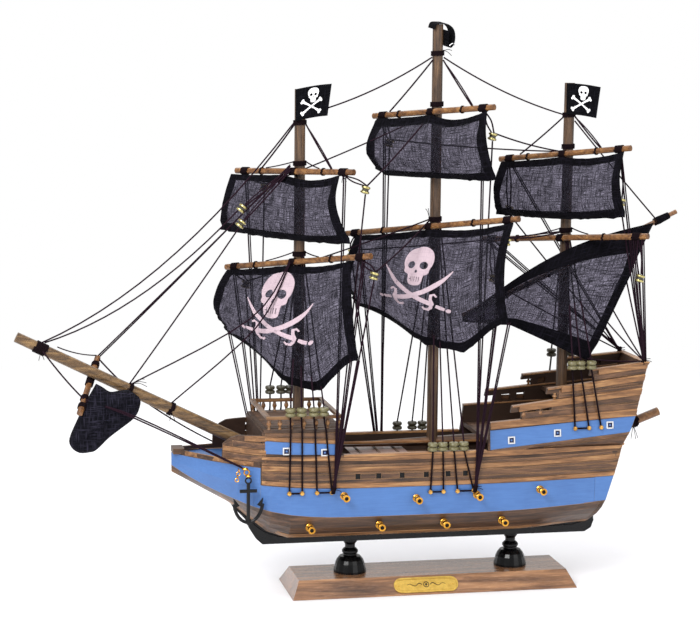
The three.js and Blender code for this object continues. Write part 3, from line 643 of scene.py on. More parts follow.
PLANKING = wood("planking_wood", (40, 28, 22), (82, 58, 42), (122, 88, 62), rough=0.42, coat=0.12,
                wear=(176, 134, 92))
PALE_PLANK = wood("pale_plank_wood", (74, 50, 32), (128, 90, 58), (166, 126, 84), rough=0.42,
                  coat=0.12)
# Side timber, darkened on its inward faces as painted shade.
SIDE_WOOD = wood("side_wood", (40, 28, 22), (82, 58, 42), (122, 88, 62), rough=0.5,
                 inside_shade_colour=(38, 27, 22))
DECKING = wood("deck_wood", (52, 38, 30), (84, 62, 48), (112, 84, 64), rough=0.6)
HATCH = wood("hatch_wood", (118, 92, 84), (158, 128, 118), (184, 154, 142), rough=0.4, coat=0.2)
WALNUT = wood("stand_walnut", (62, 42, 30), (122, 86, 60), (164, 120, 84), grain=0.7, rough=0.22,
              coat=0.7, tone_reach=0.0)
MAST_WOOD = wood("mast_wood", (38, 28, 22), (74, 56, 42), (108, 82, 58), axis=2, rough=0.5,
                 coat=0.1, tone_reach=0.0)
SPAR_WOOD = wood("spar_wood", (66, 42, 25), (110, 74, 43), (144, 104, 62), rough=0.45, coat=0.15,
                 axis=1, tone_reach=0.0)
BOWSPRIT_WOOD = wood("bowsprit_wood", (50, 38, 26), (92, 70, 46), (130, 102, 66), rough=0.5,
                     coat=0.1, tone_reach=0.0)
BLUE = paint("blue_paint", (72, 112, 170), (56, 94, 150), (122, 124, 120))
WHITE = paint("white_paint", (206, 208, 210), (180, 180, 184), (150, 140, 130))
NAVY = lacquer("port_navy", (20, 24, 58), 0.3)
BLACK = lacquer("black_lacquer", (6, 6, 9), 0.22)
IRON = lacquer("anchor_black", (7, 7, 9), 0.45)
BRASS = metal("plate_brass", (214, 178, 92), (150, 112, 50), 0.3, (0.05, 1, 1))
GOLD = metal("cannon_brass", (206, 150, 62), (112, 66, 26), 0.18)
NAIL = metal("nail_brass", (222, 170, 92), (140, 96, 50), 0.3)
BLOCK_BAND = metal("block_band", (206, 194, 132), (120, 108, 60), 0.3)
OLIVE = paint("deadeye_olive", (118, 112, 78), (78, 72, 46), (142, 134, 100), rough=0.5)
OLIVE_DARK = paint("block_dark", (70, 66, 50), (44, 40, 30), (120, 112, 80), rough=0.5)
THREAD = thread("rigging_thread", (20, 12, 18), (48, 32, 42))
LASHING = thread("lashing_thread", (14, 9, 12), (36, 25, 29), 2.6)
GAUZE = gauze("black_gauze", (14, 13, 17), (46, 45, 51), 0.42)
HEM = cloth("black_hem", (11, 10, 14), (30, 28, 36))
SLACK = cloth("spritsail_cloth", (16, 16, 21), (50, 48, 60))
FLAG_CLOTH = cloth("flag_cloth", (12, 12, 15), (30, 30, 36), 1.6)
PRINT = cloth("white_print", (188, 168, 176), (168, 148, 158))
FLAG_PRINT = cloth("flag_print", (250, 250, 250), (226, 226, 228), 1.6)
# Dark lacquer for the insides of the bores and the gunports: painted shade.
BORE_SHADE = lacquer("cannon_bore_shade", (8, 8, 10), 0.6)


# ---------------------------------------------------------------- stand and keel

def finish_cad(node, material):
    """Gives a CAD node that stays in view its material."""
    obj = frame["nodes"][node]
    obj.data.materials.clear()
    obj.data.materials.append(material)
    obj.data.set_sharp_from_angle(angle=math.radians(30))


def dress_cad_nodes():
    finishes = {
        "base_board": WALNUT, "base_nameplate": BRASS, "pedestal_fore": BLACK,
        "pedestal_aft": BLACK, "keel": BLACK, "lower_hull": PLANKING, "blue_wale": BLUE,
        "side_planking_port": SIDE_WOOD, "side_planking_starboard": SIDE_WOOD,
        "main_deck": DECKING, "cargo_hatch": HATCH, "bow_bulwark": SIDE_WOOD,
        "forecastle": DECKING, "forecastle_rail": PALE_PLANK, "quarter_side_port": SIDE_WOOD,
        "quarter_side_starboard": SIDE_WOOD, "quarter_deck": DECKING, "poop_deck": DECKING,
        "transom": SIDE_WOOD, "stern_spar": SPAR_WOOD, "fore_mast": MAST_WOOD,
        "main_mast": MAST_WOOD, "mizzen_mast": MAST_WOOD, "bowsprit": BOWSPRIT_WOOD,
        "anchor": IRON, "anchor_chain": GOLD,
    }
    for node in frame["nodes"]:
        if "cannon" in node:
            finishes[node] = GOLD
        elif node.endswith("yard"):
            finishes[node] = SPAR_WOOD
    for node, material in finishes.items():
        finish_cad(node, material)


def build_nameplate():
    """The plate's raised border, two pins and a small plain ornament."""
    low, high = box("base_nameplate")
    points = node_points("base_nameplate")
    face = [p for p in points if p.z > high.z - 0.8]
    bottom = [p for p in points if p.z < low.z + 0.8]
    top_middle = sum(face, Vector()) / len(face)
    bottom_middle = sum(bottom, Vector()) / len(bottom)
    up = (top_middle - bottom_middle).normalized()
    along = Vector((1, 0, 0))
    out = along.cross(up).normalized()
    if out.y > 0:
        out = -out
    centre = (low + high) / 2
    surface = max((p - centre).dot(out) for p in points)
    centre = centre + out * surface
    half_x, half_z = (high.x - low.x) / 2 - 1.3, (top_middle - bottom_middle).length / 2 - 1.2
    border = Piece()
    path = []
    for t in spread(0, 2 * math.pi, 61):
        a, b = math.cos(t), math.sin(t)
        reach_x = math.copysign(min(abs(a) ** 0.35, 1) * half_x, a)
        reach_z = math.copysign(min(abs(b) ** 0.5, 1) * half_z, b)
        path.append(centre + along * reach_x + up * reach_z)
    border.tube(path, 0.22, 6)
    for x in (-half_x + 2.4, half_x - 2.4):
        border.lathe(centre + along * x - out * 0.1, out, [(0.1, 0), (0.75, 0), (0.6, 0.45), (0.1, 0.6)], 12)
    border.make("nameplate_border", BRASS, slot="brass")
    ornament = Piece()
    for side in (-1, 1):
        scroll = []
        for t in spread(0, 1, 26):
            reach = side * (3.2 + 11.5 * t)
            scroll.append(centre + along * reach + up * (1.3 * math.sin(t * math.pi * 3) * (1 - 0.6 * t)))
        ornament.tube(scroll, [0.34 * (1 - 0.6 * t) for t in spread(0, 1, 26)], 6)
    ornament.ring(centre, out, 2.0, 0.3, steps=24)
    ornament.lathe(centre - out * 0.1, out, [(0.9, 0), (0.9, 0.3), (0.4, 0.5), (0.05, 0.5)], 8)
    ornament.make("nameplate_ornament", IRON, slot="black_lacquer")


def build_keel_moulding():
    """The bead that runs round the keel just under the planking."""
    high = box("keel")[1]
    for side, label in ((PORT, "port"), (STARBOARD, "starboard")):
        y = side * (high.y - 0.05)
        path = [Vector((x, y, z)) for x, z in
                ((-140, 58.5), (-133, 51.5), (-126, 46.0), (-117, 42.8), (-104, 41.8), (0, 41.6),
                 (100, 42.0), (114, 42.8), (122, 45.5))]
        bead = Piece()
        bead.tube(rounded(path, 5), 0.5, 8)
        bead.make(f"keel_bead_{label}", BLACK, slot="black_lacquer")


# ---------------------------------------------------------------- planked sides

BOW = -133.2
HULL_FOOT = [(-194, 93), (-151, 68.6), (-137, 57), (-125, 48.5), (-112, 45.5), (140, 45.5)]
WALE_FOOT = [(-194, 98), (-170, 84.2), (-150, 74.2), (-130, 68.2), (-110, 65.2), (-90, 63.8),
             (-57, 63.2), (20, 63.2), (60, 63.9), (90, 65.3), (125, 67.9)]
# Edges of the strakes above the wale: (x, height) points for each edge, lowest first.
EDGES = [
    [(BOW, 88.9), (-95, 86.0), (-57, 85.0), (20, 85.0), (70, 85.4), (140, 86.8)],
    [(BOW, 92.2), (-95, 89.6), (-57, 88.5), (20, 88.3), (70, 88.6), (140, 90.2)],
    [(BOW, 99.3), (-95, 97.8), (-57, 97.0), (20, 96.6), (70, 97.3), (140, 99.6)],
    [(BOW, 103.2), (-95, 101.4), (-57, 100.6), (20, 100.2), (70, 101.0), (140, 103.4)],
    [(BOW, 105.0), (-95, 103.2), (-57, 102.4), (20, 102.2), (70, 103.4), (140, 106.0)],
    [(BOW, 107.2), (-95, 105.8), (-57, 105.0), (20, 104.8), (70, 105.6), (140, 107.4)],
    [(BOW, 109.4), (-95, 109.4), (-57, 109.4), (20, 109.4), (70, 109.4), (140, 109.4)],
]
GUNPORTS = (-63.4, -48, -30.5, -12.4, 4, 17)
GUNPORT = (91.6, 95.4, 3.8)           # low edge, high edge and width of a gunport
GUNPORT_EDGE = 97.0                   # height amidships of the strake edge over the gunports


def edge(points, shift=0.0):
    return lambda x: table(points, x) + shift


def level_edge(z):
    return lambda _: z


def hull_run(x0, x1, step=6.0):
    return spread(x0, x1, max(int(abs(x1 - x0) / step), 2) + 1)


def build_strakes(side, label):
    pale, brown, gap = Piece(), Piece(), 0.14
    xs = hull_run(BOW, 142)
    pale.strake(xs, edge(EDGES[0], gap), edge(EDGES[1], -gap), side, 0.75, 0.6)
    # The gunport row is a plank below the ports, one above and short lengths between them.
    foot, head, width = GUNPORT

    def row_foot(x):
        return foot + (table(EDGES[2], x) - GUNPORT_EDGE) * 0.4

    def row_head(x):
        return head + (table(EDGES[2], x) - GUNPORT_EDGE) * 0.5

    brown.strake(xs, edge(EDGES[1], gap), lambda x: row_foot(x) - 0.05, side, tone=0.34)
    ports = [GUNPORTS[0] - 200] + list(GUNPORTS) + [GUNPORTS[-1] + 200]
    for a, b in zip(ports, ports[1:]):
        start, end = max(a + width / 2, BOW), min(b - width / 2, 142)
        brown.strake(hull_run(start, end, 5), row_foot, row_head, side, tone=0.3 + 0.25 * random.random())
    brown.strake(xs, lambda x: row_head(x) + 0.05, edge(EDGES[2], -gap), side, tone=0.42)
    pale.strake(xs, edge(EDGES[2], gap), edge(EDGES[3], -gap), side, 0.6, 0.42)
    brown.strake(xs, edge(EDGES[3], gap), edge(EDGES[4], -gap), side, 0.35, 0.5)
    pale.strake(xs, edge(EDGES[5], gap), edge(EDGES[6]), side, 0.85, 0.55)
    # Lower hull: the pale strip along its foot, and one seam in the broad plank.
    pale.strake(hull_run(-160, 126), edge(HULL_FOOT, 0.4), edge(HULL_FOOT, 3.6), side, 0.5, 0.3)
    # The painted wale and the plank under it run on over the edge of the stern boards.
    painted = Piece()
    painted.strake(hull_run(118, 142, 4), edge(WALE_FOOT), edge(EDGES[0], -gap), side, 0.3)
    brown.strake(hull_run(110, 142, 4), edge(HULL_FOOT, 3.9), edge(WALE_FOOT, -gap), side, 0.3, 0.5)
    # Bow: planks of the bulwark above the painted head.
    head_line = [(-194, 107.2), (BOW, 101.6)]
    pale.strake(hull_run(-190, BOW - 0.6, 5), edge(head_line, 0.2), edge(head_line, 3.4), side, 0.7, 0.5)
    brown.strake(hull_run(-160, BOW + 3, 4), edge(head_line, 3.8), edge(head_line, 8.4), side, tone=0.66)
    pale.strake(hull_run(-160, BOW + 3, 4), edge(head_line, 8.8), edge(head_line, 12.6), side, 0.55, 0.4)
    brown.strake(hull_run(-158, BOW + 3, 4), edge(head_line, 13.0), edge(head_line, 17.5), side, tone=0.6)
    pale.strake(hull_run(-150, BOW + 3, 4), level_edge(120.6), level_edge(124.5), side, 0.8, 0.35)
    # Forecastle: pale strips above and below its painted band.
    band_low, band_high = [(-133, 111.6), (-75, 109.7)], [(-133, 121.2), (-75, 117.6)]
    fore = hull_run(-131, -76.5, 5)
    painted.strake(fore, edge(band_low), edge(band_high), side, 0.5)
    pale.strake(fore, edge(band_high, 0.2), edge(band_high, 3.1), side, 1.0, 0.5)
    brown.strake(fore, edge(band_high, 3.3), level_edge(126.6), side, 0.3, 0.25)
    # Quarter: band of paint, a wedge of planking under it, planks between the rails above.
    band_low, band_high = [(35, 109.8), (150, 118.9)], [(35, 124.0), (150, 130.6)]
    for low_edge, high_edge, tone, thick in (
            (level_edge(109.7), edge(band_low, -2.9), 0.5, 0.4),
            (edge(band_low, -2.7), edge(band_low, -0.1), 0.75, 0.7)):
        brown.strake(hull_run(37, 148, 5), low_edge, high_edge, side, thick, tone)
    painted.strake(hull_run(35.8, 153, 5), edge(band_low), edge(band_high), side, 0.5)
    painted.make(f"blue_bands_{label}", BLUE, slot="blue_paint")
    for (x0, start), (x1, end), height, tone in (
            ((61, 131.4), (156, 135.4), 5.0, 0.62), ((84, 137.0), (156, 141.2), 4.8, 0.3),
            ((89.5, 145.6), (158, 151.0), 2.6, 0.7), ((90, 148.0), (158, 155.0), 3.4, 0.4),
            ((118, 158.2), (161, 161.6), 4.4, 0.66)):
        line = [(x0, start), (x1, end)]
        brown.strake(hull_run(x0, x1, 5), edge(line), edge(line, height), side, 0.4, tone)
    pale.make(f"pale_strakes_{label}", PALE_PLANK, slot="planking")
    brown.make(f"brown_strakes_{label}", PLANKING, slot="planking")


RAILS = [                                        # (x, top) at each end, height of the rail
    ("waist", [(-74, 109.6), (33, 109.6)], 1.4),
    ("quarter_1", [(36, 129.4), (60, 130.8), (152, 135.2)], 4.6),
    ("quarter_2", [(53.2, 140.8), (88, 144.4), (156, 150.6)], 4.4),
    ("quarter_3", [(81.2, 152.7), (117, 156.4), (159, 160.9)], 4.2),
    ("quarter_4", [(115.4, 165.6), (160, 169.9)], 4.4),
]
WALL = 3.0


def build_rails(side, label):
    """Rails along the sides: a moulding outside the wall and a cap over its top."""
    rails = Piece()
    for name, tops, height in RAILS:
        top = edge(tops)
        xs = hull_run(tops[0][0], tops[-1][0], 5)
        rails.strake(xs, lambda x: top(x) - height, lambda x: top(x) - 0.2, side, 1.3, 0.5)
        rings = []
        for x in xs:
            x = min(x, stern_end(top(x)))
            p = skin(x, top(x) - 1.2, side)
            if p is None:
                continue
            outer, inner = p.y + side * 1.5, p.y - side * (WALL + 0.5)
            z = top(x)
            rings.append([Vector((x, outer, z - 0.5)), Vector((x, outer, z + 0.3)),
                          Vector((x, outer - side * 0.3, z + 0.6)), Vector((x, inner + side * 0.3, z + 0.6)),
                          Vector((x, inner, z + 0.3)), Vector((x, inner, z - 0.5))])
        if len(rings) > 1 and name != "waist":
            rails.loft(rings, 0.62)
    # The waist's rail caps the side: how far out and how high each corner of its section is.
    section = ((1.2, 108.6), (1.2, 109.7), (0.9, 110.0), (-WALL - 0.2, 110.0), (-WALL - 0.5, 109.7),
               (-WALL - 0.5, 108.6))
    waist = []
    for x in hull_run(-74, 33, 6):
        y = skin(x, 107, side).y
        waist.append([Vector((x, y + side * out, z)) for out, z in section])
    rails.loft(waist, 0.8)
    rails.make(f"side_rails_{label}", PALE_PLANK, slot="planking")


BALUSTER = [(1.25, 0), (1.25, 0.08), (0.75, 0.16), (1.1, 0.3), (1.75, 0.46), (1.45, 0.62),
            (0.8, 0.78), (0.7, 0.86), (1.2, 0.93), (1.2, 1.0)]


def build_balusters(side, label):
    turned = Piece()
    for x in (-128, -111.5, -93.5, -77, -120, -102.5, -85):
        base = Vector((x, side * 37, 128.8))
        turned.lathe(base, Vector((0, 0, 1)), [(r, h * 9.0) for r, h in BALUSTER], 14, 0.5)
    for x, low, high in ((62, 130.9, 138.0), (75, 131.4, 139.0), (86.5, 144.8, 149.6)):
        y = skin(x, low - 1.5, side).y - side * 1.2
        turned.lathe(Vector((x, y, low)), Vector((0, 0, 1)), [(r, h * (high - low)) for r, h in BALUSTER],
                     14, 0.4)
    turned.make(f"balusters_{label}", PALE_PLANK, slot="planking")


def port_frame(frames, panes, lights, x, z, side, size=5.5, bar=1.0):
    """A square frame standing on the hull with a dark pane inside it and a pale blue spot in its middle: a
    painted glint.
    """
    p, out = skin(x, z, side), skin_normal(x, z, side)
    up = (Vector((0, 0, 1)) - out * out.z).normalized()
    along = out.cross(up).normalized()
    centre = p + out * 0.55
    reach = (size - bar) / 2
    for direction, other in ((along, up), (up, along)):
        for s in (-1, 1):
            frames.slab(centre + direction * s * reach, direction, other, out,
                        (bar, size if direction is along else size - 2 * bar, 1.5), 0.22)
    panes.slab(centre, along, up, out, (size - 2 * bar + 0.1, size - 2 * bar + 0.1, 0.7), 0.1)
    # Painted highlight: a small pale blue square stands for a glint on the pane.
    lights.slab(centre + out * 0.1, along, up, out, (1.3, 1.3, 0.9), 0.1)


def build_ports(side, label):
    frames, panes, lights, holes = Piece(), Piece(), Piece(), Piece()
    for x, z in ((-115.7, 113.6), (-87.9, 112.0), (52, 116.4), (88, 120.2), (129.6, 124.4)):
        port_frame(frames, panes, lights, x, z, side)
    low, high, width = GUNPORT
    # Painted shade: each gunport is a thin dark panel on the planking, standing for the shadow inside an open
    # port.
    for x in GUNPORTS:
        z = (low + high) / 2
        p, out = skin(x, z, side), skin_normal(x, z, side)
        holes.slab(p + out * 0.02, Vector((1, 0, 0)), Vector((0, 0, 1)), out,
                   (width + 0.2, high - low + 0.3, 0.3), 0.05)
    frames.make(f"port_frames_{label}", WHITE)
    panes.make(f"port_panes_{label}", NAVY)
    lights.make(f"port_lights_{label}", BLUE)
    holes.make(f"gunports_{label}", BORE_SHADE)


def build_transom():
    """Stern planking, a painted band with two small ports, and trim at the edges."""
    def stern(y, z):
        return HULL_TREE.ray_cast(Vector((FAR + 60, y, z)), Vector((-1, 0, 0)))[0]

    def half(z):
        return table([(45.5, 4), (50, 14), (62, 25), (80, 33), (100, 36.5), (109, 36), (130, 33),
                      (150, 30), (170, 27.5)], z)

    boards, painted, trim, frames, panes = Piece(), Piece(), Piece(), Piece(), Piece()
    heights = [50, 57.5, 64, 71, 78.5, 86, 92.5, 99, 105, 109.4]
    upper = [131.5, 137.5, 143.5, 150, 156, 162, 168.5]
    for band in (heights, upper, [109.8, 117.8]):
        for z0, z1 in zip(band, band[1:]):
            reach = min(half(z0), half(z1)) - 1.2
            rings = []
            for y in spread(-reach, reach, 9):
                a, b = stern(y, z0 + 0.15), stern(y, z1 - 0.15)
                if abs(y) < 4 and 117 < z0 < 128 or a is None or b is None:
                    continue
                rings.append([a - Vector((0.4, 0, 0)), a + Vector((0.35, 0, 0.0)),
                              b + Vector((0.35, 0, 0)), b - Vector((0.4, 0, 0))])
            boards.loft(rings, 0.3 + 0.5 * random.random())
    for y0, y1 in ((-33, -6), (6, 33)):
        rings = []
        for y in spread(y0, y1, 6):
            a, b = stern(y, 118.4), stern(y, 130.6)
            rings.append([a - Vector((0.4, 0, 0)), a + Vector((0.5, 0, 0)), b + Vector((0.5, 0, 0)),
                          b - Vector((0.4, 0, 0))])
        painted.loft(rings)
        y = (y0 + y1) / 2
        p = stern(y, 124.5)
        out = Vector((1, 0, -0.35)).normalized()
        across, up = Vector((0, 1, 0)), out.cross(Vector((0, 1, 0)))
        for s in (-1, 1):
            frames.slab(p + out * 0.6 + across * s * 3.2, across, up, out, (1.4, 8, 1.4), 0.2)
            frames.slab(p + out * 0.6 + up * s * 3.3, up, across, out, (1.4, 5.1, 1.4), 0.2)
        panes.slab(p + out * 0.5, across, up, out, (5.4, 5.4, 0.8), 0.1)
    for z in (110.0, 131.0, 168.9):
        path = [stern(y, z) + Vector((0.3, 0, 0)) for y in spread(-half(z) + 0.6, half(z) - 0.6, 9)]
        trim.tube(path, 1.0, 8, 0.7)
    high = box("transom")[1]
    top = [Vector((high.x - 1.6, y, high.z + 0.1)) for y in (-29, 29)]
    trim.slab((top[0] + top[1]) / 2, Vector((0, 1, 0)), Vector((1, 0, 0)), Vector((0, 0, 1)),
              (60, 4.6, 1.0), 0.3, 0.6)
    boards.make("transom_boards", PLANKING, slot="planking")
    painted.make("transom_blue", BLUE, slot="blue_paint")
    trim.make("transom_trim", PALE_PLANK, slot="planking")
    frames.make("transom_port_frames", WHITE)
    panes.make("transom_port_panes", NAVY)


def build_decks():
    """Deck planks laid fore and aft, and the hatch's coaming and battens."""
    planks = Piece()
    up, along, across = Vector((0, 0, 1)), Vector((1, 0, 0)), Vector((0, 1, 0))
    areas = (("main_deck", -70, 33, 37), ("quarter_deck", 38, 110, 34), ("poop_deck", 98, 148, 29),
             ("forecastle", -129, -76, 35))
    for node, x0, x1, reach in areas:
        z = box(node)[1].z
        count = int(2 * reach / 6)
        for i in range(count):
            y = lerp(-reach, reach, (i + 0.5) / count)
            cut = lerp(x0, x1, 0.3 + 0.4 * ((i * 37) % 10) / 10)
            for a, b in ((x0, cut - 0.15), (cut + 0.15, x1)):
                planks.slab(Vector(((a + b) / 2, y, z + 0.12)), along, across, up,
                            (b - a, 5.7, 0.5), 0.12, 0.3 + 0.4 * random.random())
    planks.make("deck_planks", DECKING, slot="deck")
    low, high = box("cargo_hatch")
    coaming = Piece()
    middle = (low + high) / 2
    for side in (-1, 1):
        coaming.slab(Vector((middle.x, side * (high.y + 0.9), low.z + 2.4)), along, across, up,
                     (high.x - low.x + 3.6, 1.6, 4.6), 0.3, 0.4)
        coaming.slab(Vector((middle.x + side * ((high.x - low.x) / 2 + 0.9), 0, low.z + 2.4)), across,
                     along, up, (high.y - low.y, 1.6, 4.6), 0.3, 0.4)
    for t in (-0.33, 0, 0.33):
        coaming.slab(Vector((middle.x + t * (high.x - low.x), 0, high.z + 0.25)), across, along, up,
                     (high.y - low.y - 3, 1.8, 0.7), 0.2, 0.3)
    coaming.make("hatch_coaming", DECKING, slot="hatch_wood")


# ---------------------------------------------------------------- fittings

DEADEYE = [(1.2, 0), (3.3, 0.3), (3.9, 1.3), (3.5, 2.6), (2.2, 3.1), (3.3, 3.6), (3.8, 4.8),
           (3.3, 6.1), (1.2, 6.6)]
CHANNELS = {                          # the deadeyes: x along the ship, height of their foot, reach abeam
    PORT: {
        "fore": ((-112.8, -104.8, -95.7, -88.4), 138.4, 40.0),
        "main": ((-7.9, -0.4, 7.9, 15.4), 110.6, 42.5),
        "mizzen": ((99.4, 105.7, 114.1), 167.0, 35.0),
    },
    STARBOARD: {
        "fore": ((-114.5, -106.1, -99.2), 141.5, 40.0),
        "main": ((-15.0, -3.2, 4.7), 110.6, 42.5),
        "mizzen": ((104.9, 120.3), 166.0, 35.0),
    },
}
NAILS = {                             # brass nails that the lanyards are made fast to
    "fore": ((-113.6, -104.5, -93.7, -82.8), 82.8),
    "main": ((-9.4, 0.4, 11, 23.1), 80.5),
    "mizzen": ((101.6, 112.6, 122.2), 123.0),
}


def build_deadeyes(side, label):
    eyes = Piece()
    for xs, foot, reach in CHANNELS[side].values():
        for x in xs:
            eyes.lathe(Vector((x, side * reach, foot)), Vector((0, 0, 1)), DEADEYE, 18, 0.5)
    # Painted shade: the starboard deadeyes, on the side away from the lamps, take the darker olive.
    eyes.make(f"deadeyes_{label}", OLIVE if side == PORT else OLIVE_DARK)


def nail_point(x, z, side, out=0.6):
    return skin(x, z, side) + skin_normal(x, z, side) * out


def build_nails(side, label):
    nails = Piece()
    for xs, z in NAILS.values():
        for x in xs:
            nails.lathe(nail_point(x, z, side, -0.8), skin_normal(x, z, side),
                        [(0.55, 0), (0.55, 2.2), (1.5, 2.3), (1.75, 2.8), (1.3, 3.5), (0.3, 3.8)], 14)
    nails.make(f"nails_{label}", NAIL, slot="brass")


def build_cannon_trim(side, label):
    """The bores, each filled with a dark plug as painted shade, and the base rings, for both batteries."""
    for row in ("upper", "lower"):
        for i in range(1, 5):
            low, high = box(f"{row}_cannon_{label}_{i}")
            middle = (low + high) / 2
            tip = high.y if side > 0 else low.y
            root = low.y if side > 0 else high.y
            bore = Piece()
            bore.lathe(Vector((middle.x, tip - side * 3.0, middle.z)), Vector((0, side, 0)),
                       [(1.3, 0), (1.3, 2.2), (0.9, 2.3)], 14)
            bore.make(f"cannon_bore_{row}_{label}_{i}", BORE_SHADE, "hull")
            collar = Piece()
            collar.lathe(Vector((middle.x, root - side * 0.4, middle.z)), Vector((0, side, 0)),
                         [(2.9, 0), (2.9, 0.7), (2.4, 1.1), (2.0, 1.1)], 18)
            collar.make(f"cannon_collar_{row}_{label}_{i}", GOLD, "hull")


# ---------------------------------------------------------------- sails

class Yard:
    """Measures along a yard from the axis its sail swings round."""

    def __init__(self, name):
        a, b = rod_ends(f"{name}_yard")
        swing = next(joint for joint in frame["joints"] if joint["name"] == f"{name}_swing")
        axis = Vector(swing["pos_m"]) / MM
        flat = Vector((b.x - a.x, b.y - a.y, 0))
        self.along = flat.normalized()
        self.forward = Vector((self.along.y, -self.along.x, 0))
        self.rise = (b.z - a.z) / flat.length
        reach = (axis - a).dot(self.along)
        self.middle = a + (self.along + Vector((0, 0, self.rise))) * reach
        self.reach = ((a - self.middle).dot(self.along), (b - self.middle).dot(self.along))

    def point(self, w, out=0.0, up=0.0):
        return self.middle + (self.along + Vector((0, 0, self.rise))) * w + self.forward * out \
            + Vector((0, 0, up))


class Grid:
    """A sheet of points; columns run along the head, rows from head to foot."""

    def __init__(self, place, us, vs):
        self.us, self.vs = us, vs
        self.points = [[place(u, v) for u in us] for v in vs]

    def width(self, row):
        line = self.points[row]
        return sum((b - a).length for a, b in zip(line, line[1:]))

    def height(self, column):
        line = [row[column] for row in self.points]
        return sum((b - a).length for a, b in zip(line, line[1:]))

    def at(self, u, v):
        def cell(values, t):
            t = min(max(t, values[0]), values[-1])
            for i in range(len(values) - 1):
                if t <= values[i + 1]:
                    return i, (t - values[i]) / (values[i + 1] - values[i])
            return len(values) - 2, 1.0
        i, s = cell(self.us, u)
        j, t = cell(self.vs, v)
        a = self.points[j][i].lerp(self.points[j][i + 1], s)
        b = self.points[j + 1][i].lerp(self.points[j + 1][i + 1], s)
        return a.lerp(b, t)

    def normal(self, u, v, toward):
        e = 0.02
        n = (self.at(u + e, v) - self.at(u - e, v)).cross(self.at(u, v + e) - self.at(u, v - e))
        n.normalize()
        return n if n.dot(toward) > 0 else -n

    def solid(self, name, materials, body, toward, thick, hem=None, hem_thick=None, slot=None):
        """A closed sheet, thicker and closer woven within the hem along its edges."""
        rows, columns = len(self.vs), len(self.us)
        width, height = self.width(rows // 2), self.height(columns // 2)
        piece = Piece()
        front, back, uvs = [], [], []

        def in_hem(u, v):
            if hem is None:
                return False
            head, foot, left, right = hem
            return (v * height < head or (1 - v) * height < foot
                    or u * width < left or (1 - u) * width < right)

        for j in range(rows):
            for i in range(columns):
                a = self.points[j][min(i + 1, columns - 1)] - self.points[j][max(i - 1, 0)]
                b = self.points[min(j + 1, rows - 1)][i] - self.points[max(j - 1, 0)][i]
                n = a.cross(b).normalized()
                n = n if n.dot(toward) > 0 else -n
                t = hem_thick if in_hem(self.us[i], self.vs[j]) else thick
                front.append(self.points[j][i] + n * t / 2)
                back.append(self.points[j][i] - n * t / 2)
                uvs.append((self.us[i] * width, self.vs[j] * height))
        total = rows * columns
        faces, slots = [], []
        for j in range(rows - 1):
            for i in range(columns - 1):
                k = j * columns + i
                u, v = (self.us[i] + self.us[i + 1]) / 2, (self.vs[j] + self.vs[j + 1]) / 2
                slot_index = int(in_hem(u, v))
                faces.append([k, k + 1, k + columns + 1, k + columns])
                faces.append([total + n for n in (k + columns, k + columns + 1, k + 1, k)])
                slots += [slot_index, slot_index]
        rim = list(range(columns)) + [j * columns + columns - 1 for j in range(1, rows)]
        rim += [(rows - 1) * columns + i for i in range(columns - 2, -1, -1)]
        rim += [j * columns for j in range(rows - 2, 0, -1)]
        for a, b in zip(rim, rim[1:] + rim[:1]):
            faces.append([a, b, total + b, total + a])
            slots.append(int(hem is not None))
        piece.points, piece.faces, piece.slots = front + back, faces, slots
        piece.uvs, piece.tones = uvs * 2, [0.5] * (2 * total)
        return piece.make(name, materials, body, slot, sharp=60)


def drape(grid, pinned, wind, frames=16, reach=3.5, stiffness=8.0, looser=0.02):
    """Lets the sheet hang and fill as real cloth for a moment, then keeps the shape it took."""
    rows, columns = len(grid.vs), len(grid.us)
    mesh = bpy.data.meshes.new("drape")
    faces = []
    for j in range(rows - 1):
        for i in range(columns - 1):
            k = j * columns + i
            faces.append([k, k + 1, k + columns + 1, k + columns])
    mesh.from_pydata([p * MM * 10 for row in grid.points for p in row], [], faces)
    obj = bpy.data.objects.new("drape", mesh)
    bpy.context.scene.collection.objects.link(obj)
    group = obj.vertex_groups.new(name="pin")
    for j in range(rows):
        for i in range(columns):
            weight = pinned(grid.us[i], grid.vs[j])
            if weight > 0:
                group.add([j * columns + i], weight, "REPLACE")
    modifier = obj.modifiers.new("Cloth", "CLOTH")
    settings = modifier.settings
    settings.quality = 5
    settings.mass = 0.12
    settings.tension_stiffness = settings.compression_stiffness = stiffness
    settings.shear_stiffness = 3.0
    settings.bending_stiffness = 0.25
    settings.vertex_group_mass = "pin"
    settings.shrink_min = -looser
    settings.air_damping = 2.0
    modifier.collision_settings.use_collision = False
    settings.effector_weights.gravity = 0.35
    modifier.point_cache.frame_start, modifier.point_cache.frame_end = 1, frames
    bpy.ops.object.effector_add(type="WIND")
    force = bpy.context.object
    force.field.strength = wind.length
    force.rotation_mode = "QUATERNION"
    force.rotation_quaternion = wind.to_track_quat("Z", "Y")
    scene = bpy.context.scene
    for number in range(1, frames + 1):
        scene.frame_set(number)
    result = obj.evaluated_get(bpy.context.evaluated_depsgraph_get())
    points = [v.co / (MM * 10) for v in result.data.vertices]
    for j in range(rows):
        for i in range(columns):
            before = grid.points[j][i]
            move = points[j * columns + i] - before
            if move.length > reach:
                move = move.normalized() * reach
            grid.points[j][i] = before + move
    scene.frame_set(1)
    bpy.data.objects.remove(obj)
    bpy.data.objects.remove(force)


def hem_lines(length, first, last, cells):
    """Grid lines from 0 to 1 with lines along both hems."""
    a, b = first / length, 1 - last / length
    return [0, a / 2] + spread(a, b, cells) + [b + (1 - b) / 2, 1]


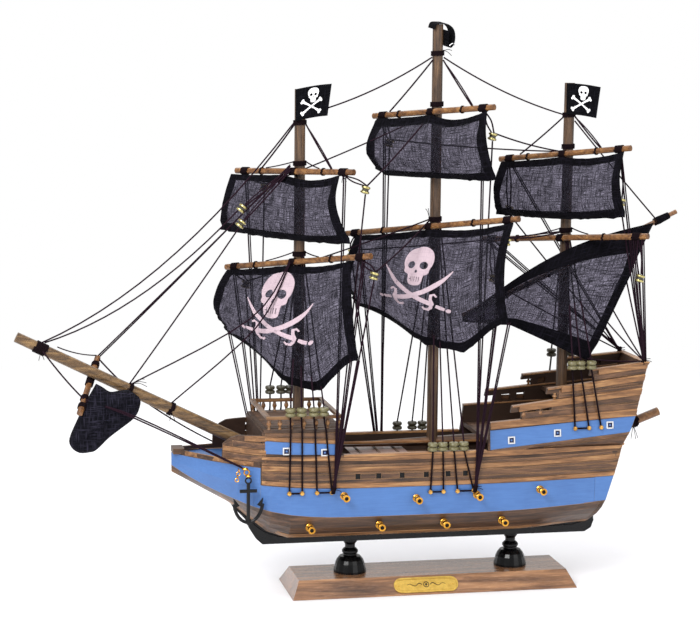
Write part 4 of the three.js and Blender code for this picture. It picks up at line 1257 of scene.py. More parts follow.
SQUARE_SAILS = [
    # name, head reach, foot reach, foot corner heights, belly, sag and its place
    ("fore_topsail", (-57, 45), (-67, 56), (266, 263.7), (3, 12, 9), 1, 0.5),
    ("fore_course", (-61, 56), (-57, 63), (188.6, 180.5), (17, 20, 2), 27, 0.62),
    ("main_topsail", (-47, 51.5), (-38, 60), (308.6, 308.5), (21, 17, 5), 0, 0.5),
    ("main_course", (-66, 76), (-64, 74), (208, 207), (14, 20, 9), 24, 0.72),
    ("mizzen_topsail", (-52.6, 54), (-56, 57), (276.5, 281), (7, 11, 7), 1.5, 0.5),
]
HEAD_DROP = {"fore_topsail": 5.0, "fore_course": 3.0, "main_topsail": 6.5, "main_course": 3.5,
             "mizzen_topsail": 3.5}


def build_square_sail(name, head, foot, drop, belly, sag, sag_at):
    yard = Yard(name)
    turn = sum(map(ord, name))

    def place(u, v):
        w = lerp(lerp(*head, u), lerp(*foot, u), v)
        # The head is tied at its ends and at the mast, and dips between the ties.
        dip = HEAD_DROP[name] * (math.sin(math.pi * min(u * 2, 1)) * 0.35
                                 + math.sin(math.pi * max(u * 2 - 1, 0)) * 0.75)
        head_z = yard.point(w).z - 2.4 - dip * (0.3 if u < 0.5 else 1.0)
        hang = max(1 - ((u - sag_at) / max(sag_at, 1 - sag_at)) ** 2, 0)
        foot_z = lerp(*drop, u) - sag * hang * smooth(0, 0.5, u) * smooth(0, 0.3, 1 - u)
        depth = table([(0, belly[0]), (0.5, belly[1]), (1, belly[2])], u)
        depth = lerp(depth, belly[1], 0.35 * math.sin(math.pi * u))
        out = 3.2 + depth * math.sin(math.pi * min(v, 0.95) ** 0.9)
        # Soft folds fan out from the upper corners and run down the cloth.
        fan = math.sin(9 * u + 7 * v * (u - 0.5) + turn) * 0.8 * v * (1 - 0.5 * v)
        fan += 0.35 * math.sin(23 * u + 4 * v + turn) * math.sin(math.pi * v)
        p = yard.point(w, out + fan)
        p.z = lerp(head_z, foot_z, v)
        return p

    coarse = Grid(place, spread(0, 1, 9), spread(0, 1, 9))
    head_hem, foot_hem = HEM_WIDTH * 0.7, HEM_WIDTH * 1.25
    us = hem_lines(coarse.width(4), HEM_WIDTH, HEM_WIDTH, 34)
    vs = hem_lines(coarse.height(4), head_hem, foot_hem, 26)
    grid = Grid(place, us, vs)
    drape(grid, lambda u, v: max(1.0 if v < 0.02 else 0, 1.0 if v > 0.98 and (u < 0.03 or u > 0.97) else 0,
                                 0.25 if u < 0.03 or u > 0.97 or v > 0.97 else 0.02),
          yard.forward * 260)
    sail = grid.solid(f"{name}_cloth", [GAUZE, HEM], name, yard.forward, GAUZE_THICKNESS,
                      (head_hem, foot_hem, HEM_WIDTH, HEM_WIDTH), HEM_THICKNESS, slot="black_gauze")
    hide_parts(f"{name}_sail")
    return yard, grid


def build_lateen_sail():
    low, high = box("lateen_sail")
    fore, aft = LATEEN_ENDS
    tack, peak = Vector((20, 0, 204.5)), Vector((166.5, 0, 273.5))
    foot, clew, crown = Vector((56, 0, 199.5)), Vector((117.5, 0, 170.5)), 12.5
    y = (low.y + high.y) / 2 + 0.6

    def place(u, v):
        head = tack.lerp(peak, u)
        head.z += crown * math.sin(math.pi * u)
        turn = (foot.x - tack.x) / (clew.x - tack.x)
        x = lerp(tack.x, clew.x, u)
        z = lerp(tack.z - 3, foot.z, u / turn) if u < turn else lerp(foot.z, clew.z, (u - turn) / (1 - turn))
        belly = 4.5 * math.sin(math.pi * u) * math.sin(math.pi * v)
        fold = 0.5 * math.sin(11 * u + 5 * v) * v * math.sin(math.pi * u)
        return Vector((lerp(head.x, x, v), y - belly - fold, lerp(head.z, z, v)))

    grid = Grid(place, hem_lines(150, 5, 8.5, 40), hem_lines(60, 12.5, 7.5, 26))
    drape(grid, lambda u, v: max(1.0 if v < 0.22 else 0, 1.0 if u < 0.05 else 0,
                                 1.0 if u > 0.97 and v > 0.95 else 0.03), Vector((0, -160, 0)), reach=2.5)
    sail = grid.solid("lateen_cloth", [GAUZE, HEM], "lateen", Vector((0, -1, 0)), GAUZE_THICKNESS,
                      (12.0, 7.0, 4.0, 8.0), HEM_THICKNESS, slot="black_gauze")
    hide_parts("lateen_sail")
    # The peak of the cloth is wrapped round the yard almost to its end.
    bare = 6.5 / (aft - fore).length
    wrap = Piece()
    wrap.tube([fore.lerp(aft, t) for t in spread(0.905, 1 - bare, 6)],
              [2.9, 3.05, 2.85, 2.75, 2.65, 2.5], 14)
    wrap.make("lateen_peak_wrap", HEM, "lateen")


def build_spritsail():
    """A slack bag of cloth: hung from the lower half of the sprit yard and from the bowsprit."""
    low, high = box("spritsail")
    outline = [(0.38, 0.97), (0.22, 0.70), (0.12, 0.50), (0.00, 0.23), (0.03, 0.10), (0.14, 0.02),
               (0.28, 0.02), (0.38, 0.05), (0.56, 0.21), (0.73, 0.33), (0.91, 0.46), (0.99, 0.59),
               (1.00, 0.74), (0.84, 0.86), (0.71, 0.86), (0.58, 0.85), (0.47, 0.92)]
    x0, x1, z0, z1 = -269.0, -218.0, 111.0, 163.5
    bends = [Vector((lerp(x0, x1, a), 0, lerp(z0, z1, b))) for a, b in outline + outline[:1]]
    corners = rounded(bends, 4)[:-1]
    centre = sum(corners, Vector()) / len(corners)
    middle_y = (low.y + high.y) / 2 - 1.0
    rings, steps = [], 11
    for side in (-1, 1):
        order = spread(0.04, 1.0, steps)
        for t in (order if side < 0 else order[::-1][1:]):
            ring = []
            for k, corner in enumerate(corners):
                p = centre.lerp(corner, t)
                angle = 2 * math.pi * k / len(corners)
                puff = (1 - t ** 2.6) ** 0.5 * (8.5 if side < 0 else 5.0)
                fold = 1.1 * math.sin(5 * angle + 3 * t) * t * (1 - t) * 4
                fold += 0.7 * math.sin(11 * angle - 2 * t) * t * (1 - t) * 4
                sag = 3.0 * t * (1 - t) * 4 * (0.5 + 0.5 * math.sin(2 * angle + 1))
                p.y = middle_y + side * (puff + fold * (0.8 if side < 0 else 0.4)) + 0.10 * (p.x - centre.x)
                p.z -= sag * 0.3
                ring.append(p)
            rings.append(ring)
    bag = Piece()
    uvs = [(p.x, p.z) for ring in rings for p in ring]
    bag.loft(rings, uvs=uvs)
    obj = bag.make("spritsail_cloth", SLACK, "spritsail", "black_gauze", sharp=80)
    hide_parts("spritsail")
    return middle_y


# ---------------------------------------------------------------- printed motifs and flags

def circle(x, y, rx, ry=None, count=18):
    ry = rx if ry is None else ry
    return [(x + rx * math.cos(a), y + ry * math.sin(a)) for a in spread(0, 2 * math.pi, count + 1)[:-1]]


def rectangle(x0, x1, y0, y1):
    return [(x0, y0), (x1, y0), (x1, y1), (x0, y1)]


def soften(points, rounds=2):
    """Cuts the corners of a closed outline (Chaikin)."""
    for _ in range(rounds):
        out = []
        for (ax, ay), (bx, by) in zip(points, points[1:] + points[:1]):
            out.append((0.75 * ax + 0.25 * bx, 0.75 * ay + 0.25 * by))
            out.append((0.25 * ax + 0.75 * bx, 0.25 * ay + 0.75 * by))
        points = out
    return points


def skull(size):
    """A plain frontal skull about 2 x size high: outline, then its holes."""
    half = [(0, 1.0), (0.36, 0.97), (0.64, 0.78), (0.76, 0.47), (0.74, 0.15), (0.62, -0.08), (0.64, -0.26),
            (0.5, -0.36), (0.38, -0.38), (0.38, -0.72), (0.3, -0.92), (0.0, -0.98)]
    outline = half + [(-x, y) for x, y in reversed(half[1:-1])]
    holes = [circle(-0.31, 0.1, 0.2, 0.19, 14), circle(0.31, 0.1, 0.2, 0.19, 14),
             soften([(0, -0.08), (0.1, -0.3), (-0.1, -0.3)], 1)]
    holes += [rectangle(x - 0.018, x + 0.018, -0.76, -0.5) for x in (-0.22, -0.11, 0.0, 0.11, 0.22)]
    holes.append(rectangle(-0.3, -0.24, -0.65, -0.61))
    loops = [soften(outline)] + holes
    return [[(x * size, y * size) for x, y in loop] for loop in loops]


def ribbon(path, widths):
    """Outline of a band along a bent path."""
    left, right = [], []
    for i, (x, y) in enumerate(path):
        ax, ay = path[max(i - 1, 0)]
        bx, by = path[min(i + 1, len(path) - 1)]
        length = math.hypot(bx - ax, by - ay)
        nx, ny = -(by - ay) / length, (bx - ax) / length
        left.append((x + nx * widths[i], y + ny * widths[i]))
        right.append((x - nx * widths[i], y - ny * widths[i]))
    return left + right[::-1]


def cutlass(side, size):
    """Blade, guard, grip and pommel of a sword whose point is up at one side."""
    shapes = []
    blade = []
    for t in spread(0, 1, 15):
        x = (1 - t) ** 2 * 0.93 + 2 * t * (1 - t) * 0.5 + t * t * -0.46
        y = (1 - t) ** 2 * 0.78 + 2 * t * (1 - t) * 0.1 + t * t * -0.18
        blade.append((x, y))
    widths = [0.012 + 0.052 * min(t * 3.2, 1) for t in spread(0, 1, 15)]
    shapes.append(ribbon(blade, widths))
    guard = [(-0.62, 0.02), (-0.56, 0.09), (-0.48, 0.06), (-0.47, -0.06), (-0.51, -0.18), (-0.47, -0.3),
             (-0.4, -0.37), (-0.3, -0.36), (-0.26, -0.3)]
    shapes.append(ribbon(guard, [0.022, 0.032, 0.036, 0.04, 0.05, 0.042, 0.038, 0.032, 0.022]))
    grip = [(-0.6, -0.235), (-0.71, -0.28), (-0.82, -0.325)]
    shapes.append(ribbon(grip, [0.045, 0.056, 0.045]))
    shapes.append(circle(-0.91, -0.36, 0.066, 0.06, 12))
    return [[(side * x * size, y * size) for x, y in shape] for shape in shapes]


def bone(side, size):
    """One crossed bone with two knobs at each end."""
    angle = math.radians(33)
    c, s = math.cos(angle), math.sin(angle)
    loop = [(-0.8, 0.07), (-0.86, 0.2), (-1.0, 0.2), (-1.04, 0.06), (-1.0, 0), (-1.04, -0.06), (-1.0, -0.2),
            (-0.86, -0.2), (-0.8, -0.07), (0.8, -0.07), (0.86, -0.2), (1.0, -0.2), (1.04, -0.06), (1.0, 0),
            (1.04, 0.06), (1.0, 0.2), (0.86, 0.2), (0.8, 0.07)]
    return soften([(side * (x * c - y * s) * size, (x * s + y * c) * size) for x, y in loop], 1)


def inside(point, loop):
    x, y = point
    hit = False
    for (ax, ay), (bx, by) in zip(loop, loop[1:] + loop[:1]):
        if (ay > y) != (by > y) and x < (bx - ax) * (y - ay) / (by - ay) + ax:
            hit = not hit
    return hit


def flat_mesh(loops, spacing):
    """Triangles that fill the first loop, leaving out the others."""
    points, edges = [], []
    for loop in loops:
        start = len(points)
        points += loop
        edges += [(start + i, start + (i + 1) % len(loop)) for i in range(len(loop))]
    xs, ys = [p[0] for p in loops[0]], [p[1] for p in loops[0]]
    x = min(xs) + spacing * 0.7
    while x < max(xs):
        y = min(ys) + spacing * 0.6
        while y < max(ys):
            if inside((x, y), loops[0]) and not any(inside((x, y), hole) for hole in loops[1:]):
                points.append((x, y))
            y += spacing
        x += spacing
    result = delaunay_2d_cdt([Vector(p) for p in points], edges, [], 0, 1e-5)
    vertices, triangles = result[0], result[2]
    kept = []
    for triangle in triangles:
        cx = sum(vertices[i][0] for i in triangle) / 3
        cy = sum(vertices[i][1] for i in triangle) / 3
        if inside((cx, cy), loops[0]) and not any(inside((cx, cy), hole) for hole in loops[1:]):
            kept.append(triangle)
    return [(v[0], v[1]) for v in vertices], kept


def print_shape(piece, loops, grid, u0, v0, toward, lift, spacing):
    """Lays a thin solid of a flat shape on a sheet, centred on (u0, v0)."""
    row = min(range(len(grid.vs)), key=lambda j: abs(grid.vs[j] - v0))
    column = min(range(len(grid.us)), key=lambda i: abs(grid.us[i] - u0))
    width, height = grid.width(row), grid.height(column)
    flat, triangles = flat_mesh(loops, spacing)
    used = sorted({i for triangle in triangles for i in triangle})
    index = {old: new for new, old in enumerate(used)}
    top, under, uvs = [], [], []
    for i in used:
        a, b = flat[i]
        u, v = u0 + a / width, v0 - b / height
        p, n = grid.at(u, v), grid.normal(u, v, toward)
        top.append(p + n * (lift + 0.12))
        under.append(p + n * (lift - 0.2))
        uvs.append((a, b))
    count = len(used)
    faces, edge_use = [], {}
    for triangle in triangles:
        a, b, c = (index[i] for i in triangle)
        faces += [[a, b, c], [count + c, count + b, count + a]]
        for e in ((a, b), (b, c), (c, a)):
            edge_use[e] = True
    for a, b in list(edge_use):
        if (b, a) not in edge_use:
            faces.append([b, a, count + a, count + b])
    piece.add(top + under, faces, uvs * 2)


PRINT_WIDTH = 1.27                    # the prints are wider than they look on the braced sails


def print_swords(name, grid, body, toward, u0, v0, size, head, lift, aside):
    """Two cutlasses crossed at (u0, v0), and a skull of half height `head` standing over them."""
    art = Piece()
    for level, side in ((0.3, -1), (0.42, 1)):
        for shape in cutlass(side, size):
            shape = [(x * PRINT_WIDTH, y) for x, y in shape]
            print_shape(art, [shape], grid, u0, v0, toward, level, 3.0)
    raised = [[(x * PRINT_WIDTH * 0.9 + aside, y + lift) for x, y in loop] for loop in skull(head)]
    print_shape(art, raised, grid, u0, v0, toward, 0.5, 3.0)
    art.make(name, PRINT, body, sharp=70)


def build_flag(name, top_rise, width=25.0, height=23.0):
    """A small stiff flag glued to its mast, printed on both faces."""
    low, high = box(f"{name}_flag")
    top, _ = MAST[name]
    x0, y0 = low.x, (low.y + high.y) / 2

    def place(u, v):
        wave = 1.1 * math.sin(2 * math.pi * u * 0.9 + 0.5 * v) * u
        return Vector((x0 + width * u + 1.5 * (v - 0.5) * -u * 2, y0 - wave,
                       top.z - height * v + top_rise * u + 0.6 * math.sin(3 * u)))

    grid = Grid(place, spread(0, 1, 15), spread(0, 1, 11))
    flag = grid.solid(f"{name}_flag_cloth", [FLAG_CLOTH], "hull", Vector((0, -1, 0)), 0.55, slot="flag_cloth")
    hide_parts(f"{name}_flag")
    art = Piece()
    for toward in (Vector((0, -1, 0)), Vector((0, 1, 0))):
        for level, side in ((0.3, -1), (0.4, 1)):
            print_shape(art, [bone(side, 8.6)], grid, 0.46, 0.63, toward, level, 1.6)
        print_shape(art, skull(5.3)[:4], grid, 0.5, 0.29, toward, 0.48, 1.4)
    art.make(f"{name}_flag_print", FLAG_PRINT, "hull", sharp=70)


CURL = [(5.4, 13.5), (5.0, 8.0), (5.2, 3.6), (7.0, 1.6), (9.3, 4.8), (9.9, 10.0), (8.6, 15.0), (4.6, 18.2),
        (0.4, 18.7), (-3.8, 18.2), (-5.3, 14.5)]
CURL_DROP = 17.5                      # from the masthead down to the foot of the curled flag


def build_curled_flag():
    """The main flag has curled into an open loop behind its masthead, with its end sticking out."""
    top, _ = MAST["main"]

    def place(u, v):
        reach = u * (len(CURL) - 1)
        i = min(int(reach), len(CURL) - 2)
        before, after = CURL[max(i - 1, 0)], CURL[min(i + 2, len(CURL) - 1)]
        x, z = catmull(before, CURL[i], CURL[i + 1], after, reach - i)
        across = lerp(-6.0, 4.0, v)
        return Vector((top.x + x - 0.25 * across, top.y + across, top.z - CURL_DROP + z + 0.15 * across))

    def corner(u, v):
        across = lerp(-6.0, -1.0, v)
        return Vector((top.x + 7.0 + 5.0 * u, top.y + across + u * 2 * (0.5 - v),
                       top.z - CURL_DROP + 1.6 + 1.2 * math.sin(3 * u) - 0.3 * across * u))

    grid = Grid(place, spread(0, 1, 44), spread(0, 1, 12))
    flag = grid.solid("main_flag_cloth", [FLAG_CLOTH], "hull", Vector((0, 0, 1)), 0.5, slot="flag_cloth")
    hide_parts("main_flag")
    turned_back = Grid(corner, spread(0, 1, 7), spread(0, 1, 5))
    turned_back.solid("main_flag_corner", [FLAG_PRINT], "hull", Vector((0, 0, 1)), 0.5)


# ---------------------------------------------------------------- rigging

LINE_COUNT = {}


def line(group, start, end, sag=0.0, radius=ROPE, via=()):
    """A thread between two fixings. A fixing is a point and the body it is made fast to."""
    (a, body_a), (b, body_b) = start, end
    path = hanging(a, b, sag) if not via else rounded([a, *via, b], 5)
    LINE_COUNT[group] = LINE_COUNT.get(group, 0) + 1
    name = f"{group}_{LINE_COUNT[group]}"
    if body_a == body_b:
        return rope(name, path, body_a, radius)
    if "hull" in (body_a, body_b):
        if body_a != "hull":
            path, body_b = path[::-1], body_a
        return rope(name, path, ("hull", body_b), radius)
    return rope(name, path, body_a, radius)


def binding(piece, centre, axis, radius, length, turns=None, thick=0.42):
    """Close turns of thread round a spar, ends tucked."""
    turns = turns or max(int(length / (thick * 1.7)), 2)
    piece.ring(centre, axis, radius + thick * 0.7, thick, turns, 6, 14, length / turns)


def tuft(piece, root, directions, length=4.0, thick=0.24):
    """Loose thread ends that stand out from a knot and droop."""
    for d in directions:
        d = d.normalized()
        droop = Vector((0, 0, -0.25 * length))
        piece.tube(rounded([root, root + d * length * 0.5, root + d * length + droop], 4), thick, 5)
        piece.tube([root - d * 0.6, root + d * 0.5], thick * 2.1, 6)


def block_at(name, centre, axis, body):
    """A pulley block: dark cheeks with brass bands."""
    shell, bands = Piece(), Piece()
    axis = axis.normalized()
    cheeks = [(1.2, 0), (2.5, 0.3), (2.9, 1.2), (2.3, 2.9), (2.9, 4.6), (2.5, 5.5), (1.2, 5.8)]
    band = [(2.6, 0), (3.2, 0.2), (3.35, 0.8), (3.2, 1.4), (2.6, 1.6)]
    shell.lathe(centre - axis * 2.9, axis, cheeks, 16)
    shell.make(f"{name}_shell", OLIVE_DARK, body)
    for h in (-1.7, 1.7):
        bands.lathe(centre + axis * (h - 0.8), axis, band, 16)
    bands.make(f"{name}_bands", BLOCK_BAND, body, "brass")


MAST_LASHINGS = {                     # heights of the bands of thread on each mast
    "fore": (246.3, 252.0, 312.3, 318.0, 347.5),
    "main": (271.3, 276.5, 355.5, 361, 398),
    "mizzen": (262, 267.5, 324.6, 330.0, 353.5),
}


def build_bindings(yards):
    """Lashings where yards cross masts and where sails are tied to the yards' ends."""
    for name, yard in yards.items():
        bound = Piece()
        slope = yard.along + Vector((0, 0, yard.rise))
        binding(bound, yard.point(0), slope, 2.25, 5.5)
        for w in (yard.reach[0] + 9.0, yard.reach[1] - 9.5):
            binding(bound, yard.point(w), slope, 2.25, 6.5)
            root = yard.point(w, 0.6, -3.2)
            tuft(bound, root, [Vector((0.5, -0.6, -0.6)), Vector((-0.4, -0.7, -0.9)), Vector((0.2, 0.3, -1))])
        for w in (yard.reach[0] * 0.55, yard.reach[1] * 0.5):
            binding(bound, yard.point(w), slope, 2.25, 1.6)
        bound.make(f"{name}_yard_lashings", LASHING, name)
    on_masts = Piece()
    for mast, heights in MAST_LASHINGS.items():
        direction = (MAST[mast][0] - MAST[mast][1]).normalized()
        for z in heights:
            binding(on_masts, mast_at(mast, z), direction, 4.25, 3.6, thick=0.5)
    tuft(on_masts, mast_at("main", 276) + Vector((-5, -2, 2)),
         [Vector((-0.1, 0, 1)), Vector((-0.3, 0, 0.9))], 9)
    tuft(on_masts, mast_at("main", 399) + Vector((4, -3, 1)),
         [Vector((1, -0.2, -0.4)), Vector((1, -0.4, 0.3))], 6)
    on_masts.make("mast_lashings", LASHING, "hull")
    spar = Piece()
    for t, length in ((0.102, 9), (0.478, 3), (0.658, 3)):
        centre, direction, radius = bowsprit_at(t)
        binding(spar, centre, direction, radius, length, thick=0.55)
        tuft(spar, centre + Vector((0, -3.5, -3)), [Vector((-0.4, -0.3, -1)), Vector((0.5, -0.3, -0.8))], 4.5)
    centre, direction, radius = bowsprit_at(0.478)
    tuft(spar, centre + Vector((2, -1, radius)), [Vector((1, -0.2, 0.35)), Vector((1, -0.3, 0.1)),
                                                  Vector((0.9, 0, 0.6))], 11)
    spar.make("bowsprit_lashings", LASHING, "hull")
    ends = Piece()
    low, high = SPRIT_ENDS
    direction = (high - low).normalized()
    for t in (0.12, 0.26, 0.55, 0.62, 0.86):
        binding(ends, low.lerp(high, t), direction, 2.25, 6 if t in (0.55, 0.62) else 4, thick=0.5)
    ends.make("spritsail_yard_lashings", LASHING, "spritsail")
    bound = Piece()
    fore, aft = LATEEN_ENDS
    direction = (aft - fore).normalized()
    for t in spread(0.1, 0.9, 9):
        binding(bound, fore.lerp(aft, t), direction, 2.25, 2.0)
    bound.make("lateen_lashings", LASHING, "lateen")


def bowsprit_at(t):
    """A point on the bowsprit's centre line from its tip, its direction and its radius."""
    tip, heel = BOWSPRIT_ENDS
    return tip.lerp(heel, t), (heel - tip).normalized(), lerp(3.75, 4.6, t)


def laid_down(top, foot, side, clear=1.5, steps=18):
    """A taut thread from a deadeye down to a nail, lying over whatever the hull puts in its way."""
    path = []
    for t in spread(0, 1, steps):
        p = top.lerp(foot, t)
        hull = skin(p.x, p.z, side)
        if hull is not None and t > 0.05:
            p.y = side * max(abs(p.y), min(abs(hull.y) + clear, abs(p.y) + 9))
        path.append(p)
    return path


def build_shrouds(side, label):
    heads = {"fore": 247, "main": 272, "mizzen": 262}
    for mast, (xs, foot, reach) in CHANNELS[side].items():
        top = mast_at(mast, heads[mast])
        nail_xs, nail_z = NAILS[mast]
        for i, x in enumerate(xs):
            eye = Vector((x, side * reach, foot))
            head = top + Vector((1.2 * (i - 1), side * 4.3, 1.5 * i))
            line(f"{mast}_shroud_{label}", (eye + Vector((0, 0, 6.2)), "hull"), (head, "hull"), 0.56)
        # Lanyards run down from the deadeyes, round one nail, along to the next and up again.
        lanyards = Piece()
        count = len(xs)
        for i in range(0, count, 2):
            pair = list(range(i, min(i + 2, count)))
            path = []
            for k, index in enumerate(pair):
                nail_x = nail_xs[min(index, len(nail_xs) - 1)]
                nail = nail_point(nail_x, nail_z, side, 1.6)
                leg = laid_down(Vector((xs[index], side * reach, foot + 0.5)), nail, side)
                path += leg if k == 0 else leg[::-1]
            lanyards.tube(cornered(path), 0.68, 6)
            binding(lanyards, nail_point(nail_xs[min(pair[-1], len(nail_xs) - 1)], nail_z, side, 1.4),
                    skin_normal(nail_xs[0], nail_z, side), 0.7, 1.6)
        lanyards.make(f"{mast}_lanyards_{label}", LASHING, "hull")


BRACE_FOOT = {PORT: (-81.8, 24.1), STARBOARD: (-122.0, -28.0)}


def build_braces(side, label, yards, sails):
    """Lines from the yards and the corners of the sails down to the sides, with their blocks."""
    def arm(name, inset=9.0):
        yard = yards[name]
        w = yard.reach[1] - inset if side < 0 else yard.reach[0] + inset
        return yard.point(w, 0.4, -2.6), name

    def clew(name):
        grid = sails[name]
        return (grid.points[-1][-1] if side < 0 else grid.points[-1][0]).copy(), name

    fore_x, main_x = BRACE_FOOT[side]
    fore_nail = nail_point(fore_x, NAILS["fore"][1] + 1.5, side, 2.2)
    main_nail = nail_point(main_x, NAILS["main"][1] + 1.5, side, 2.2)
    fore_fix, main_fix = (fore_nail, "hull"), (main_nail, "hull")
    poop = Vector((157.5, side * 27.5, 171.0))
    groups = (
        ("fore", fore_fix, (clew("fore_course"), arm("fore_course", 7), arm("fore_topsail", 9))),
        ("main", main_fix, (clew("main_course"), arm("main_course", 12), arm("main_topsail", 10))),
        ("mizzen", (poop, "hull"), (arm("mizzen_topsail", 9), arm("crossjack", 12), arm("crossjack", 5))),
    )
    for group, fix, tops in groups:
        for i, top in enumerate(tops):
            base = fix[0] + Vector((0.8 * i - 0.8, 0, 0.4 * i))
            line(f"{group}_brace_{label}", (base, "hull"), top, 1.2)
            line(f"{group}_brace_{label}", (base + Vector((0.9, side * 0.2, 0)), "hull"),
                 (top[0] + Vector((1.5, 0, 0)), top[1]), 0.5, THIN_ROPE)
    knots = Piece()
    for point, _ in (fore_fix, main_fix, (poop, "hull")):
        binding(knots, point, Vector((0.2, 0, 1)), 1.0, 5.0, thick=0.5)
        tuft(knots, point, [Vector((1, side * 0.3, 0.7)), Vector((1, side * 0.4, 0.2))], 6)
    knots.make(f"brace_knots_{label}", LASHING, "hull")
    # A block hangs on two short legs from each yardarm; its fall goes to the next mast or the deck.
    hung = (
        ("fore_topsail", Vector((15, 0, -10)), ("main", 354), fore_fix),
        ("fore_course", Vector((9, 0, -11)), ("main", 276), fore_fix),
        ("main_topsail", Vector((6, 0, -18)), ("mizzen", 326), main_fix),
        ("main_course", Vector((-2, 0, -13)), ("mizzen", 266), main_fix),
        ("mizzen_topsail", Vector((1, 0, -36)), None, (poop, "hull")),
        ("crossjack", Vector((2, 0, -28)), None, (poop, "hull")),
    )
    for name, offset, mast, fall in hung:
        start, body = arm(name, 8.0)
        centre = start + offset
        block_at(f"block_{name}_{label}", centre, Vector((0.25, 0, 1)), body)
        legs = Piece()
        bend = Vector((0, 0, 1.6))
        for shift in (-1.8, 1.8):
            legs.tube(rounded([start, start.lerp(centre, 0.5) + bend + Vector((shift, 0, shift * 0.4)),
                               centre + Vector((shift * 0.5, 0, 3.0))], 4), ROPE, 6)
        legs.make(f"block_legs_{name}_{label}", THREAD, body)
        line(f"block_fall_{label}", (fall[0] + Vector((0, side * 0.3, 0)), "hull"),
             (centre + Vector((0, 0, -3.2)), body), 0.8)
        if mast:
            end = mast_at(*mast) + Vector((-4.4, side * 1.5, 0))
            line(f"block_stay_{label}", (end, "hull"), (centre + Vector((1, 0, 2.6)), body), 1.5)


